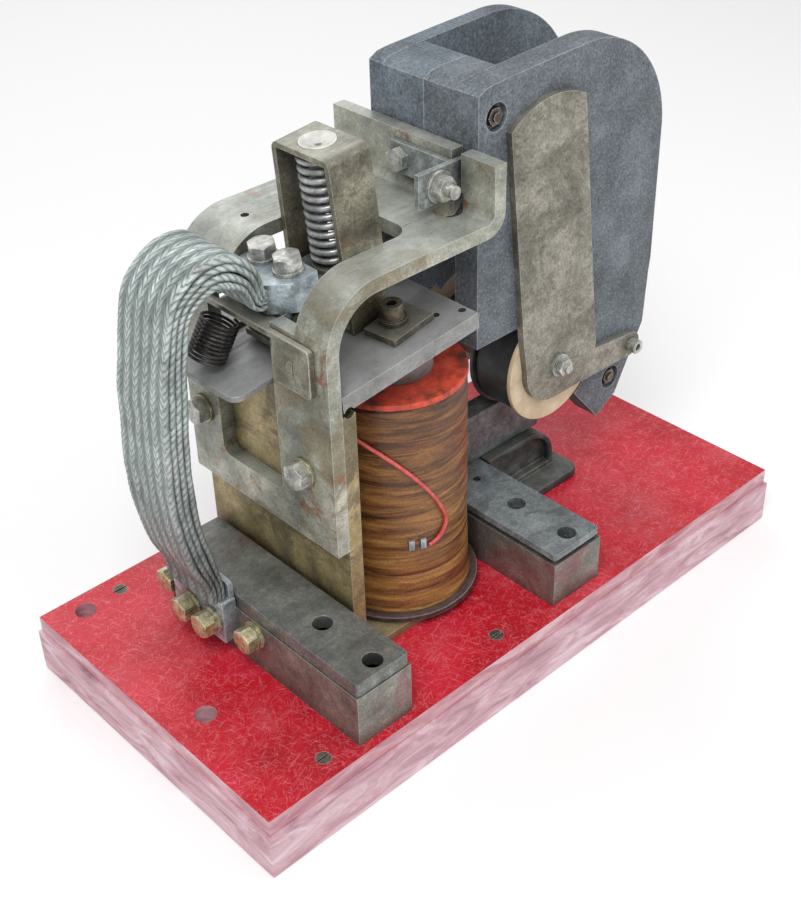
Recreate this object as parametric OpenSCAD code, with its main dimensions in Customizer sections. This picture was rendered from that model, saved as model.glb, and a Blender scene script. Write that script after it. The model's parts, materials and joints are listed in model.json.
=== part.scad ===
// Open clapper contactor on its red mounting panel.
// X runs along the panel, Y across it and Z up from its underside, in mm.

/* [Panel] */
// Length of the lower board
base_l = 467.5; // [420:0.5:520]
// Width of the lower board
base_w = 240; // [210:0.5:280]
// Thickness of the lower board
board_t = 31.5; // [18:0.5:45]
// Thickness of the red top sheet
sheet_t = 12; // [6:0.5:20]
// Step of the top sheet back from the board edges
sheet_step = 2; // [0:0.1:5]
// Diameter of the plain fixing holes in the sheet
fixing_d = 14; // [8:0.5:20]
// Depth of the plain fixing holes in the board below
fixing_deep = 6; // [0:0.5:20]
// Head diameter of the countersunk wood screws
wood_head_d = 10; // [6:0.5:14]
// Shank diameter of the countersunk wood screws
wood_d = 5; // [3:0.5:7]
// Length of the countersunk wood screws
wood_l = 28; // [15:1:38]

/* [Terminal bars] */
// Width of the front block along X
front_w = 41.9; // [30:0.1:55]
// Length of the front block along Y
front_l = 182; // [120:1:200]
// Height of the front block
front_h = 37.1; // [25:0.1:50]
// Width of the rear block along X
rear_w = 44.2; // [30:0.1:55]
// Length of the rear block along Y
rear_l = 130; // [110:1:200]
// Height of the rear block
rear_h = 33; // [25:0.1:50]
// Thickness of the plate on the front block
plate_t = 9.8; // [6:0.1:14]
// Thickness of the plate on the rear block
rear_plate_t = 5; // [3:0.1:9]
// Height of the groove below the rear plate
groove_t = 2.8; // [1:0.1:5]
// Step of the plates back from the block edges
plate_step = 0.9; // [0:0.1:4]
// Diameter of the terminal holes
terminal_d = 12.5; // [8:0.1:16]
// Depth of the terminal holes in the blocks
terminal_deep = 24; // [10:1:34]
// Spacing of the two terminal holes
terminal_gap = 44; // [30:0.5:60]

/* [Yoke and coil] */
// Thickness of the upright yoke plate
yoke_t = 9.7; // [6:0.1:14]
// Width of the yoke, bracket and armature along Y
yoke_w = 135; // [100:0.5:160]
// Height of the yoke top above the panel
yoke_h = 182.5; // [150:0.5:200]
// Thickness of the yoke foot
foot_t = 6.5; // [5:0.1:12]
// Radius of the coil winding
coil_r = 46; // [36:0.5:48]
// Radius of the flange below the winding
flange_r = 52.5; // [48:0.5:54]
// Thickness of the flange below the winding
flange_t = 4; // [2:0.1:6]
// Gap from the yoke top down to the washer on the winding
coil_gap = 16; // [14:0.5:40]
// Thickness of the red washer on the winding
washer_t = 4; // [2:0.1:6]
// Radius of the coil core
core_r = 20; // [14:0.5:24]
// Radius of the pole disc
pole_r = 25.5; // [21:0.5:32]
// Diameter of the coil lead
lead_d = 2.6; // [1.5:0.1:4]

/* [Armature] */
// Opening angle of the armature at rest
open_deg = 5.7; // [3:0.1:7]
// Radius of the pivot rod
rod_r = 3.5; // [2.5:0.1:4]
// Thickness of the armature
arm_t = 10.5; // [8:0.1:14]
// Reach of the armature beyond its pivot
arm_reach = 102; // [90:0.5:106]
// Thickness of the tail plate
tail_t = 4; // [2:0.1:6]
// Reach of the tail plate behind the pivot
tail_reach = 41; // [30:0.5:45]
// Width of the tail plate
tail_w = 55; // [30:0.5:56]
// Length of the clamp plate
clamp_a = 34; // [25:0.5:36]
// Width of the clamp plate
clamp_b = 23.5; // [18:0.5:24]
// Turn of the clamp plate on the armature
clamp_turn = 5.5; // [0:0.5:10]
// Collar radius of the clamp bolt
collar_r = 8.5; // [7:0.5:9]

/* [Bracket] */
// Thickness of the bracket plate
brk_t = 8.8; // [6:0.1:12]
// Outer radius of the bend between legs and arms
brk_bend = 38; // [20:0.5:45]
// Drop of the leg feet below the yoke top
brk_low = 93.1; // [80:0.1:110]
// Rise of the top face above the yoke top
brk_top = 75.7; // [70:0.1:80]
// Reach of the arms from the leg faces to the flange
brk_reach = 127; // [110:0.5:140]
// Rise of the end flange above the top face
flange_rise = 33.2; // [20:0.1:50]
// Width of the near leg
near_leg = 47.6; // [30:0.1:50]
// Width of the far leg
far_leg = 30.6; // [25:0.1:45]
// Width of the near arm
near_arm = 26.4; // [18:0.1:35]
// Width of the far arm
far_arm = 43; // [30:0.1:50]
// Reach of the opening from the leg faces
opening_reach = 87.8; // [60:0.1:100]
// Width of the notch in the flange
notch_w = 7.5; // [5:0.1:12]

/* [Springs] */
// Wire diameter of the contact spring
cs_wire = 3.8; // [2:0.1:4.5]
// Mean radius of the contact spring
cs_r = 11.7; // [8:0.1:14]
// Curls of the contact spring
cs_turns = 12; // [8:0.5:14]
// Wire diameter of the kick-out spring
ks_wire = 1.9; // [1.5:0.1:1.9]
// Mean radius of the kick-out spring
ks_r = 10.9; // [8:0.1:12]
// Curls of the kick-out spring
ks_turns = 10; // [6:0.5:10]
// Width of the spring housing along X
hous_w = 30; // [28:0.5:34]
// Outer span of the spring housing along Y
hous_span = 47.8; // [46:0.1:48]
// Height of the spring housing
hous_h = 108.6; // [95:0.1:112]
// Thickness of the housing strip
hous_t = 3.5; // [2:0.1:4]

/* [Contact arm] */
// Width of the contact arm
bar_w = 38; // [26:0.5:39]
// Thickness of the contact arm
bar_t = 11; // [8:0.1:14]
// Height of the arm top over the pivot
bar_top = 43; // [40:0.1:46]
// Reach of the arm beyond the pivot
bar_reach = 205; // [180:0.5:215]
// Radius of the arm pin
pin_r = 4.5; // [3:0.1:6]
// Running clearance of both pivots
run_fit = 0.05; // [0.02:0.01:0.1]
// Radius of both contact faces
tip_r = 12; // [8:0.5:14]

/* [Braid] */
// Layers in the braid
braid_layers = 4; // [2:1:6]
// Thickness of one layer
layer_t = 2.4; // [1:0.1:2.6]
// Width of the braid
braid_w = 46; // [30:0.5:47]

/* [Arc chute] */
// Overall width of the chute
chute_w = 89.5; // [80:0.5:100]
// Thickness of the near cheek
cheek_t = 18.7; // [10:0.1:20]
// Thickness of the far cheek
far_cheek_t = 11.5; // [8:0.1:20]
// Depth of the front block along X
block_d = 35; // [28:0.5:60]
// Height of the front block
block_h = 58; // [40:0.5:65]
// Radius of the upper rear corner
chute_r = 75; // [50:0.5:80]
// Thickness of the pole plates
pole_t = 5; // [3:0.1:8]
// Width of the pole plates
pole_w = 65; // [50:0.5:75]
// Lean of the pole plates
pole_lean = 7.8; // [0:0.1:12]
// Radius of the blow-out coil
blow_r = 39.5; // [30:0.5:41]
// Radius of the fibre washers
fibre_r = 41.3; // [32:0.1:44]
// Radius of the blow-out core
blow_core_r = 12; // [8:0.5:16]

/* [Hidden] */
$fn = 72;
e = 0.01;
seat = 0.1;
top_z = board_t + sheet_t;
mid_y = 128;
yoke_y0 = mid_y - yoke_w / 2;
yoke_y1 = mid_y + yoke_w / 2;
front_x = 74.9;
front_y = 8.3;
rear_x = 244.8;
rear_y = 10.8;
front_top = top_z + front_h;
rear_top = top_z + rear_h;
bar_z0 = rear_top + groove_t + rear_plate_t;
rear_hole = [268.9, 22.9];
leg_x = 110.2;
yoke_x = leg_x + brk_t;
yoke_top = top_z + yoke_h;
coil_x = 194;
coil_y = 103;
coil_z = top_z + foot_t + flange_t;
coil_h = yoke_h - foot_t - flange_t - washer_t - coil_gap;
washer_z = coil_z + coil_h;
pivot_x = yoke_x + 5.3;
pivot_z = yoke_top + 1.2;
under = 1.4;
arm_top = under + arm_t;
tail_z = 5;
arm_back = 3.7;
pole_z = pivot_z + under - 0.6;
brk_z0 = yoke_top - brk_low;
brk_z1 = yoke_top + brk_top;
flange_x = leg_x + brk_reach;
flange_in = 5;
window_y0 = yoke_y0 + near_leg;
window_y1 = yoke_y1 - far_leg;
opening_y0 = yoke_y0 + near_arm;
opening_y1 = yoke_y1 - far_arm;
window_z = yoke_top - 69;
step_z = yoke_top + 45;
hous_x = 55.5;
hous_top = arm_top + hous_h;
leg_y = 24;
hous_y = 127;
hous_y0 = hous_y - 1.6 - hous_span / 2;
hous_y1 = hous_y - 1.6 + hous_span / 2;
near_flare = 1.9;
far_flare = 4.9;
pin_x = 14;
pin_z = bar_top - 9;
cs_h = hous_top - hous_t - bar_top - 3;
hub_r = 9;
bar_x0 = 1;
lug_x0 = -4;
lug_x1 = 27;
lug_t = 19;
lug_plate = 7;
lug_cut = 12;
lug_w = 47;
lug_bolt_x = 15.5;
bolt_d = 9.5;
bolt_af = 15;
head_h = 7.5;
wash_r = 8.6;
chute_x = 248;
chute_y0 = 84;
chute_y1 = chute_y0 + chute_w;
joint_y = chute_y0 + chute_w * 0.49;
chute_top = yoke_top + 140;
core_x = 320;
core_z = 164.3;
cut_r = fibre_r + 1.5;
bar_y0 = mid_y - 8;
bar_y1 = mid_y + 8;
bar_z1 = 122;
tip_x = 200;
tip_z = bar_top - bar_t;
fixed_x = 324;
fixed_top = pivot_z + 26;
top_bolt = [262.5, chute_top - 16.5];
foot_bolt = [381, 125];
side_bolt_y = [180.2, 151, 130, 100.5];
side_bolt_z = top_z + 28;
low_lug_y0 = 119;
low_lug_y1 = 170.5;
low_lug_t = 10;
low_lug_z = top_z + 13.5;
under_at = [[95.8, 41], [95.8, 120], [267.5, 44.5], [267.5, 116]];
foot_at = [[142, 182], [182, 182]];
wood_at = [[55.2, base_w - 16], [54.2, 16.7], [199.6, 18.2], [199.6, base_w - 17]];
fixing_at = [[27.1, base_w - 17.8], [26.7, 92.2]];

module at_base() {
  translate([-base_l / 2, -base_w / 2, 0])
    children();
}

module box(x0, x1, y0, y1, z0, z1) {
  translate([x0, y0, z0])
    cube([x1 - x0, y1 - y0, z1 - z0]);
}

module rod_x(x0, x1, y, z, r) {
  translate([x0, y, z])
    rotate([0, 90, 0])
      cylinder(r = r, h = x1 - x0);
}

module rod_y(y0, y1, x, z, r) {
  translate([x, y0, z])
    rotate([-90, 0, 0])
      cylinder(r = r, h = y1 - y0);
}

module rod_z(z0, z1, x, y, r) {
  translate([x, y, z0])
    cylinder(r = r, h = z1 - z0);
}

// Spreads an XZ outline from y0 to y1.
module slab_y(y0, y1) {
  translate([0, y1, 0])
    rotate([90, 0, 0])
      linear_extrude(y1 - y0)
        children();
}

module rounded(x0, x1, y0, y1, r) {
  translate([x0 + r, y0])
    square([x1 - x0 - 2 * r, y1 - y0]);
  translate([x0, y0 + r])
    square([x1 - x0, y1 - y0 - 2 * r]);
  for (x = [x0 + r, x1 - r], y = [y0 + r, y1 - r])
    translate([x, y])
      circle(r);
}

module on_armature() {
  translate([pivot_x, 0, pivot_z])
    rotate([0, -open_deg, 0])
      children();
}

// Hex head above z 0 with its crown chamfer and the shank below.
module hex_bolt(d, af, h, l) {
  intersection() {
    cylinder(r = af / 2 / cos(30), h = h, $fn = 6);
    cylinder(r1 = af / 2 + h * 2, r2 = af / 2 - 0.2, h = h);
  }
  translate([0, 0, -l])
    cylinder(d = d, h = l + e);
}

module washer(r, d, t) {
  difference() {
    cylinder(r = r, h = t);
    translate([0, 0, -e])
      cylinder(d = d + 2 * seat, h = t + 2 * e);
  }
}

module wood_screw(gap) {
  cylinder(d = wood_d + 2 * gap, h = wood_l);
  translate([0, 0, wood_l - 2.8])
    cylinder(r1 = wood_d / 2 + gap, r2 = wood_head_d / 2 + gap, h = 2.8);
}

module wood_places(gap) {
  for (p = wood_at)
    translate([p[0], p[1], top_z - wood_l])
      wood_screw(gap);
}

module base_lower_board() {
  color("#C98A8E")
    at_base()
      difference() {
        cube([base_l, base_w, board_t]);
        wood_places(seat);
        for (p = fixing_at)
          rod_z(board_t - fixing_deep, board_t + e, p[0], p[1], fixing_d / 2);
        for (p = concat(under_at, foot_at)) {
          rod_z(-e, 10, p[0], p[1], 8);
          rod_z(0, board_t + e, p[0], p[1], 4 + seat);
        }
      }
}

module base_top_sheet() {
  color("#C21F38")
    at_base()
      difference() {
        box(sheet_step, base_l - sheet_step, sheet_step, base_w - sheet_step, board_t, top_z);
        wood_places(seat);
        for (p = fixing_at)
          rod_z(board_t - e, top_z + e, p[0], p[1], fixing_d / 2);
        for (p = concat(under_at, foot_at))
          rod_z(board_t - e, top_z + e, p[0], p[1], 4 + seat);
      }
}

module wood_screws() {
  color("#5E5148")
    at_base()
      difference() {
        wood_places(0);
        for (p = wood_at)
          box(p[0] - 6, p[0] + 6, p[1] - 0.7, p[1] + 0.7, top_z - 1.4, top_z + 1);
      }
}

module socket_screw(l) {
  difference() {
    union() {
      cylinder(r = 4, h = l);
      translate([0, 0, -8])
        cylinder(r = 6.5, h = 8);
    }
    translate([0, 0, -8 - e])
      cylinder(r = 3.5, h = 4, $fn = 6);
  }
}

module under_screws() {
  color("#4A4A4C")
    at_base() {
      for (p = under_at)
        translate([p[0], p[1], 10])
          socket_screw(50);
      for (p = foot_at)
        translate([p[0], p[1], 10])
          socket_screw(top_z + foot_t - 11);
    }
}

module terminal_holes(x, y, z0, z1, d) {
  for (i = [0, 1])
    rod_z(z0, z1, x, y + i * terminal_gap, d / 2);
}

module front_terminal_block() {
  color("#6E6A66")
    at_base()
      difference() {
        box(front_x, front_x + front_w, front_y, front_y + front_l, top_z, front_top);
        terminal_holes(96.7, 18.9, front_top - terminal_deep, front_top + e, terminal_d);
        for (i = [0, 1])
          rod_z(top_z - e, 61, under_at[i][0], under_at[i][1], 4 + seat);
        for (y = side_bolt_y)
          rod_x(front_x - e, front_x + 24, y, side_bolt_z, bolt_d / 2 + seat);
      }
}

module front_terminal_plate() {
  color("#55504D")
    at_base()
      difference() {
        translate([0, 0, front_top])
          linear_extrude(plate_t)
            rounded(front_x + plate_step, front_x + front_w - plate_step,
              front_y + plate_step, front_y + front_l - plate_step, 2);
        terminal_holes(96.7, 18.9, front_top - e, front_top + plate_t + e, terminal_d);
      }
}

module rear_terminal_block() {
  color("#6A6662")
    at_base()
      difference() {
        box(rear_x, rear_x + rear_w, rear_y, rear_y + rear_l, top_z, rear_top);
        terminal_holes(rear_hole[0], rear_hole[1], rear_top - terminal_deep, rear_top + e, terminal_d);
        for (i = [2, 3])
          rod_z(top_z - e, 61, under_at[i][0], under_at[i][1], 4 + seat);
      }
}

module rear_terminal_plate() {
  color("#504C4A")
    at_base()
      difference() {
        union() {
          box(rear_x + 3, rear_x + rear_w - 3, rear_y + 3, rear_y + rear_l - 3, rear_top, bar_z0 - 1);
          translate([0, 0, rear_top + groove_t])
            linear_extrude(rear_plate_t)
              rounded(rear_x + plate_step, rear_x + rear_w - plate_step,
                rear_y + plate_step, rear_y + rear_l - plate_step, 2.5);
        }
        terminal_holes(rear_hole[0], rear_hole[1], rear_top - e, bar_z0 + e, terminal_d);
        rod_z(rear_top + 2, bar_z0 + e, 270.2, 104.7, 2.8);
      }
}

module side_bolts() {
  color("#9A8F78")
    at_base()
      for (i = [0:3])
        translate([side_x(i) - 4.4, side_bolt_y[i], side_bolt_z])
          rotate([0, -90, 0])
            hex_bolt(bolt_d, bolt_af, head_h, i == 0 || i == 3 ? 24 : 34);
}

function side_x(i) = i == 0 || i == 3 ? front_x : front_x - low_lug_t;

module side_washers() {
  color("#A89A7A")
    at_base() {
      for (i = [0:3])
        translate([side_x(i), side_bolt_y[i], side_bolt_z])
          rotate([0, -90, 0]) {
            washer(wash_r + 0.6, bolt_d, 2);
            translate([0, 0, 2])
              washer(wash_r - 0.9, bolt_d, 2.4);
          }
      leg_washers();
    }
}

module yoke() {
  color("#9B8A5E")
    at_base()
      difference() {
        union() {
          box(yoke_x, yoke_x + yoke_t, yoke_y0, yoke_y1, top_z, yoke_top);
          box(yoke_x, coil_x, yoke_y0, yoke_y1, top_z, top_z + foot_t);
          intersection() {
            rod_z(top_z, top_z + foot_t, coil_x, coil_y, 46);
            box(yoke_x, rear_x, yoke_y0, yoke_y1, top_z, top_z + foot_t);
          }
        }
        rod_y(yoke_y0 - e, yoke_y1 + e, pivot_x, pivot_z, rod_r);
        for (p = foot_at)
          rod_z(top_z - e, top_z + foot_t + e, p[0], p[1], 4 + seat);
        for (p = leg_bolt_at)
          rod_x(yoke_x - e, yoke_x + yoke_t + e, p[0], p[1], bolt_d / 2 + seat);
        rod_z(top_z - e, top_z + foot_t + e, coil_x, coil_y, 6 + seat);
      }
}

leg_bolt_at = [[86, yoke_top - 44], [181, yoke_top - 44]];

module coil_core() {
  color("#77787A")
    at_base()
      difference() {
        union() {
          rod_z(top_z, top_z + foot_t + 1, coil_x, coil_y, 6);
          rod_z(top_z + foot_t, washer_z + washer_t + 1, coil_x, coil_y, core_r);
          rod_z(washer_z + washer_t, pole_z, coil_x, coil_y, pole_r);
        }
        rod_z(pole_z - 1.5, pole_z + e, coil_x, coil_y, 6);
      }
}

module coil_winding() {
  color("#7A4A24")
    at_base()
      translate([coil_x, coil_y, coil_z])
        difference() {
          cylinder(r = coil_r, h = coil_h);
          translate([0, 0, -e])
            cylinder(r = core_r + seat, h = coil_h + 2 * e);
        }
}

module coil_flange() {
  color("#3A2A28")
    at_base()
      difference() {
        intersection() {
          translate([coil_x, coil_y, coil_z - flange_t])
            cylinder(r = flange_r, h = flange_t);
          box(coil_x - 60, rear_x - 0.6, 0, base_w, top_z, washer_z);
        }
        rod_z(top_z, coil_z + e, coil_x, coil_y, core_r + seat);
      }
}

module coil_top_washer() {
  color("#D2482C")
    at_base()
      translate([coil_x, coil_y, washer_z])
        difference() {
          cylinder(r = coil_r + 0.5, h = washer_t);
          translate([0, 0, -e])
            cylinder(r = core_r + seat, h = washer_t + 2 * e);
        }
}

module coil_tabs() {
  color("#B9B2A4")
    at_base()
      for (a = [-121, -112])
        translate([coil_x, coil_y, 104])
          rotate([0, 0, a])
            translate([coil_r + 0.05, -1.8, 0])
              cube([2.2, 3.6, 7]);
}

// Point on a smooth curve through four neighbours.
function knot(a, b, c, d, t) = 0.5 * (2 * b + (c - a) * t
  + (2 * a - 5 * b + 4 * c - d) * t * t + (3 * b - a - 3 * c + d) * t * t * t);
function flow(p, n) = [for (i = [0:len(p) - 2], k = [0:n - 1])
  knot(p[max(i - 1, 0)], p[i], p[i + 1], p[min(i + 2, len(p) - 1)], k / n)];
function smooth(p, n) = concat(flow(p, n), [p[len(p) - 1]]);
function unit(v) = v / norm(v);

function ring_points(c, t, up, r, n) = let (a = unit(cross(t, up)), b = cross(a, t))
  [for (k = [0:n - 1]) c + r * (cos(360 * k / n) * a + sin(360 * k / n) * b)];

// Round tube of n sides along a list of points, closed at both ends.
module tube(path, up, r, n) {
  m = len(path);
  rings = [for (i = [0:m - 1])
    ring_points(path[i], unit(path[min(i + 1, m - 1)] - path[max(i - 1, 0)]), up, r, n)];
  pts = [for (g = rings, q = g) q];
  sides = [for (i = [0:m - 2], k = [0:n - 1], h = [0, 1])
    h == 0 ? [i * n + k, i * n + (k + 1) % n, (i + 1) * n + k]
           : [i * n + (k + 1) % n, (i + 1) * n + (k + 1) % n, (i + 1) * n + k]];
  caps = [for (k = [1:n - 2], h = [0, 1])
    h == 0 ? [0, k + 1, k] : [(m - 1) * n, (m - 1) * n + k, (m - 1) * n + k + 1]];
  polyhedron(points = pts, faces = concat(sides, caps));
}

// Angle round the winding and height of the lead.
lead_route = [[-162, 186], [-141, 176], [-122, 162], [-107, 146], [-96, 130], [-92, 118],
  [-98, 109], [-107, 105]];

module coil_lead() {
  color("#C8403E")
    at_base()
      tube([for (q = smooth(lead_route, 4))
        [coil_x + (coil_r + lead_d / 2 + 0.1) * cos(q[0]),
         coil_y + (coil_r + lead_d / 2 + 0.1) * sin(q[0]), q[1]]], [0.1, 0.2, 1], lead_d / 2, 8);
}

module pivot_rod() {
  color("#8A8A88")
    at_base()
      rod_y(yoke_y0 + 6, yoke_y1 - 6, pivot_x, pivot_z, rod_r);
}

module armature_plate() {
  color("#6F6F6D")
    at_base()
      on_armature()
        difference() {
          box(-arm_back, arm_reach, yoke_y0, yoke_y1, under, arm_top);
          rod_y(yoke_y0 - e, yoke_y1 + e, 0, 0, rod_r + run_fit);
          box(-arm_back - e, 14, tail_y0 - seat, tail_y0 + tail_w + seat, tail_z, arm_top + e);
          rod_z(arm_top - 5, arm_top + e, 85.1, 78.6, 2.4);
          rod_z(arm_top - 5, arm_top + e, 98.2, 70.1, 2.4);
          rod_z(under - e, arm_top + e, clamp_x, clamp_y, 4.5 + seat);
          for (y = [-12, 12])
            rod_z(under + 2, arm_top + e, hous_x, mid_y + y, 2.5 + seat);
        }
}

tail_y0 = window_y0 + 1;
clamp_x = 61.5;
clamp_y = 88.5;

module tail_plate() {
  color("#77777A")
    at_base()
      on_armature()
        translate([0, 0, tail_z])
          linear_extrude(tail_t) {
            rounded(-tail_reach, 0, tail_y0, tail_y0 + tail_w, 8);
            translate([-10, tail_y0])
              square([23.9, tail_w]);
          }
}

module clamp_plate() {
  color("#8C8672")
    at_base()
      on_armature()
        translate([clamp_x, clamp_y, arm_top])
          rotate([0, 0, clamp_turn])
            difference() {
              translate([1.4 - clamp_a / 2, -14.6, 0])
                cube([clamp_a, clamp_b, 4.5]);
              translate([0, 0, -e])
                cylinder(r = 4.5 + seat, h = 5);
            }
}

module clamp_bolt() {
  color("#6B5A45")
    at_base()
      on_armature()
        translate([clamp_x, clamp_y, arm_top + 4.5])
          difference() {
            union() {
              cylinder(r = collar_r, h = 3);
              cylinder(r = 6.5, h = 12);
              translate([0, 0, -14])
                cylinder(r = 4.5, h = 15);
            }
            translate([0, 0, 8])
              cylinder(r = 3.5, h = 5, $fn = 6);
          }
}

// Side profile of the bracket plate, from the leg feet to the flange.
module bracket_profile() {
  translate([leg_x, brk_z0])
    square([brk_t, brk_z1 - brk_bend - brk_z0]);
  translate([leg_x + brk_bend, brk_z1 - brk_bend])
    intersection() {
      difference() {
        circle(brk_bend);
        circle(brk_bend - brk_t);
      }
      translate([-brk_bend, 0])
        square(brk_bend);
    }
  translate([leg_x + brk_bend, brk_z1 - brk_t])
    square([flange_x - flange_in - leg_x - brk_bend, brk_t]);
  translate([flange_x - flange_in, brk_z1 + flange_in])
    intersection() {
      difference() {
        circle(flange_in + brk_t);
        circle(flange_in);
      }
      translate([0, -flange_in - brk_t])
        square(flange_in + brk_t);
    }
  translate([flange_x, brk_z1 + flange_in])
    square([brk_t, flange_rise - flange_in]);
}

module bracket() {
  color("#8E8A6C")
    at_base()
      difference() {
        slab_y(yoke_y0, yoke_y1)
          bracket_profile();
        translate([leg_x - 5, 0, 0])
          rotate([90, 0, 90])
            linear_extrude(brk_t + 10)
              rounded(window_y0, window_y1, window_z, step_z, 6);
        box(leg_x - 5, leg_x + brk_t + 5, window_y0, window_y1, step_z - 20, step_z + e);
        box(leg_x - 5, leg_x + 30, opening_y0, opening_y1, step_z, brk_z1 + 5);
        translate([0, 0, brk_z1 - 30])
          linear_extrude(35)
            {
              rounded(leg_x + 5, leg_x + opening_reach, opening_y0, opening_y1, 12);
              rounded(leg_x + 40, leg_x + opening_reach, mid_y, opening_y1, 3);
            }
        box(flange_x - 5, flange_x + brk_t + 5, opening_y0, opening_y0 + notch_w, brk_z0, brk_z1 + 50);
        rod_z(brk_z1 - 20, brk_z1 + 10, flange_x - 7, opening_y0 + notch_w / 2, 9);
        rod_z(brk_z1 - 20, brk_z1 + 10, 146, 170, 2.6);
        for (p = leg_bolt_at)
          rod_x(leg_x - e, leg_x + brk_t + e, p[0], p[1], bolt_d / 2 + seat);
        rod_x(leg_x - e, leg_x + brk_t + e, strap_hole[0], strap_hole[1], 3 + seat);
        rod_x(flange_x - e, flange_x + brk_t + e, stop_y, stop_z, 4 + seat);
      }
}

module leg_bolts() {
  color("#B8B4A6")
    at_base()
      for (p = leg_bolt_at)
        translate([leg_x - 2, p[0], p[1]])
          rotate([0, -90, 0])
            hex_bolt(bolt_d, bolt_af, head_h, 2 + brk_t + yoke_t);
}

module leg_washers() {
  for (p = leg_bolt_at)
    translate([leg_x, p[0], p[1]])
      rotate([0, -90, 0])
        washer(wash_r + 0.6, bolt_d, 2);
}

strap_hole = [85, yoke_top + 26];
strap_t = 3.8;
strap_z = yoke_top + 42.5;

module strap() {
  color("#9C9884")
    at_base()
      difference() {
        union() {
          translate([leg_x - strap_t, 0, 0])
            rotate([90, 0, 90])
              linear_extrude(strap_t)
                rounded(71, 102, strap_z - 30.5, strap_z, 3);
          box(leg_x - strap_t, leg_x + brk_t, window_y0 + 0.5, opening_y1 - 0.5, strap_z - strap_t, strap_z);
          box(leg_x - strap_t, leg_x, 74, 182, strap_z - strap_t, strap_z);
        }
        rod_x(leg_x - strap_t - e, leg_x + e, strap_hole[0], strap_hole[1], 3 + seat);
        translate([leg_x - strap_t - e, strap_hole[0], strap_hole[1]])
          rotate([0, 90, 0])
            cylinder(r1 = 5.6, r2 = 3 + seat, h = 2.6);
      }
}

module strap_screw() {
  color("#8A8478")
    at_base()
      difference() {
        union() {
          rod_x(leg_x - strap_t + 1, leg_x + brk_t, strap_hole[0], strap_hole[1], 3);
          translate([leg_x - strap_t, strap_hole[0], strap_hole[1]])
            rotate([0, 90, 0])
              cylinder(r1 = 5.4, r2 = 3, h = 2.4);
        }
        box(leg_x - 10, leg_x - strap_t + 1, strap_hole[0] - 0.7, strap_hole[0] + 0.7, strap_hole[1] - 12,
          strap_hole[1] + 8);
      }
}

// Curls of a spring standing on its lower seat, with closed ends.
function curl(r, wire, h, turns, t) = let (a = 360 * turns * t)
  [r * cos(a), r * sin(a), wire / 2 + t * (h - wire)];

// Least room between neighbouring curls, taken on the points of the path.
function self_gap(r, wire, h, turns) = let (p = [for (i = [0:turns * 8])
  curl(r, wire, h, turns, i / (turns * 8))])
  min([for (i = [0:len(p) - 12], j = [i + 5:i + 11]) norm(p[j] - p[i])]) - wire;

module spring(r, wire, h, turns) {
  tube([for (i = [0:turns * 8]) curl(r, wire, h, turns, i / (turns * 8))], [0, 0, 1], wire / 2, 6);
}

ks_low = [91, 145.4, yoke_top + 13.2];
ks_high = [102.5, 141.2, yoke_top + 37.8];
ks_dir = ks_high - ks_low;
echo(kickout_gap = self_gap(ks_r, ks_wire, norm(ks_dir), ks_turns));
echo(contact_gap = self_gap(cs_r, cs_wire, cs_h, cs_turns));

module kickout_spring() {
  color("#3B3838")
    at_base()
      translate(ks_low)
        rotate([0, acos(ks_dir[2] / norm(ks_dir)), atan2(ks_dir[1], ks_dir[0])])
          spring(ks_r, ks_wire, norm(ks_dir), ks_turns);
}

module contact_arm() {
  color("#8B7A66")
    at_base()
      on_armature()
        difference() {
          union() {
            box(bar_x0, bar_reach, mid_y - bar_w / 2, mid_y + bar_w / 2, bar_top - bar_t, bar_top);
            rod_y(mid_y - bar_w / 2, mid_y + bar_w / 2, pin_x, pin_z, hub_r);
          }
          rod_y(mid_y - bar_w, mid_y + bar_w, pin_x, pin_z, pin_r + run_fit);
          for (y = [-11, 11])
            rod_z(bar_top - 4, bar_top + e, lug_bolt_x, mid_y + y, bolt_d / 2 + seat);
          rod_z(bar_top - 3, bar_top + e, hous_x, hous_y, 5 + seat);
        }
}

module pivot_bracket() {
  color("#7C7A70")
    at_base()
      on_armature()
        difference() {
          union() {
            box(pin_x - 11, pin_x + 11, mid_y - leg_y, mid_y + leg_y, arm_top, arm_top + 4);
            for (y = [mid_y - leg_y, mid_y + leg_y - 4.2]) {
              box(pin_x - 8.5, pin_x + 8.5, y, y + 4.2, arm_top, pin_z);
              rod_y(y, y + 4.2, pin_x, pin_z, 8.5);
            }
          }
          rod_y(mid_y - 40, mid_y + 40, pin_x, pin_z, pin_r);
        }
}

module arm_pin() {
  color("#9A9A98")
    at_base()
      on_armature()
        rod_y(mid_y - leg_y - 2, mid_y + leg_y + 2, pin_x, pin_z, pin_r);
}

module contact_spring() {
  color("#A9AAA6")
    at_base()
      on_armature()
        translate([hous_x, hous_y, bar_top + 3])
          spring(cs_r, cs_wire, cs_h, cs_turns);
}

module spring_seat() {
  color("#7F8080")
    at_base()
      on_armature()
        translate([hous_x, hous_y, bar_top]) {
          cylinder(r = cs_r + 2, h = 3);
          cylinder(r = cs_r - cs_wire / 2 - 1, h = 9);
          translate([0, 0, -3])
            cylinder(r = 5, h = 4);
        }
}

// Strip outline of the housing, drawn in by a.
module hous_outline(a) {
  intersection() {
    polygon([[hous_y0 - near_flare + a, arm_top + a], [hous_y1 + far_flare - a, arm_top + a],
      [hous_y1 - a, hous_top - a], [hous_y0 + a, hous_top - a]]);
    rounded(hous_y0 - near_flare - 20, hous_y1 + far_flare + 20, arm_top + a, hous_top - a, 5);
  }
}

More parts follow.
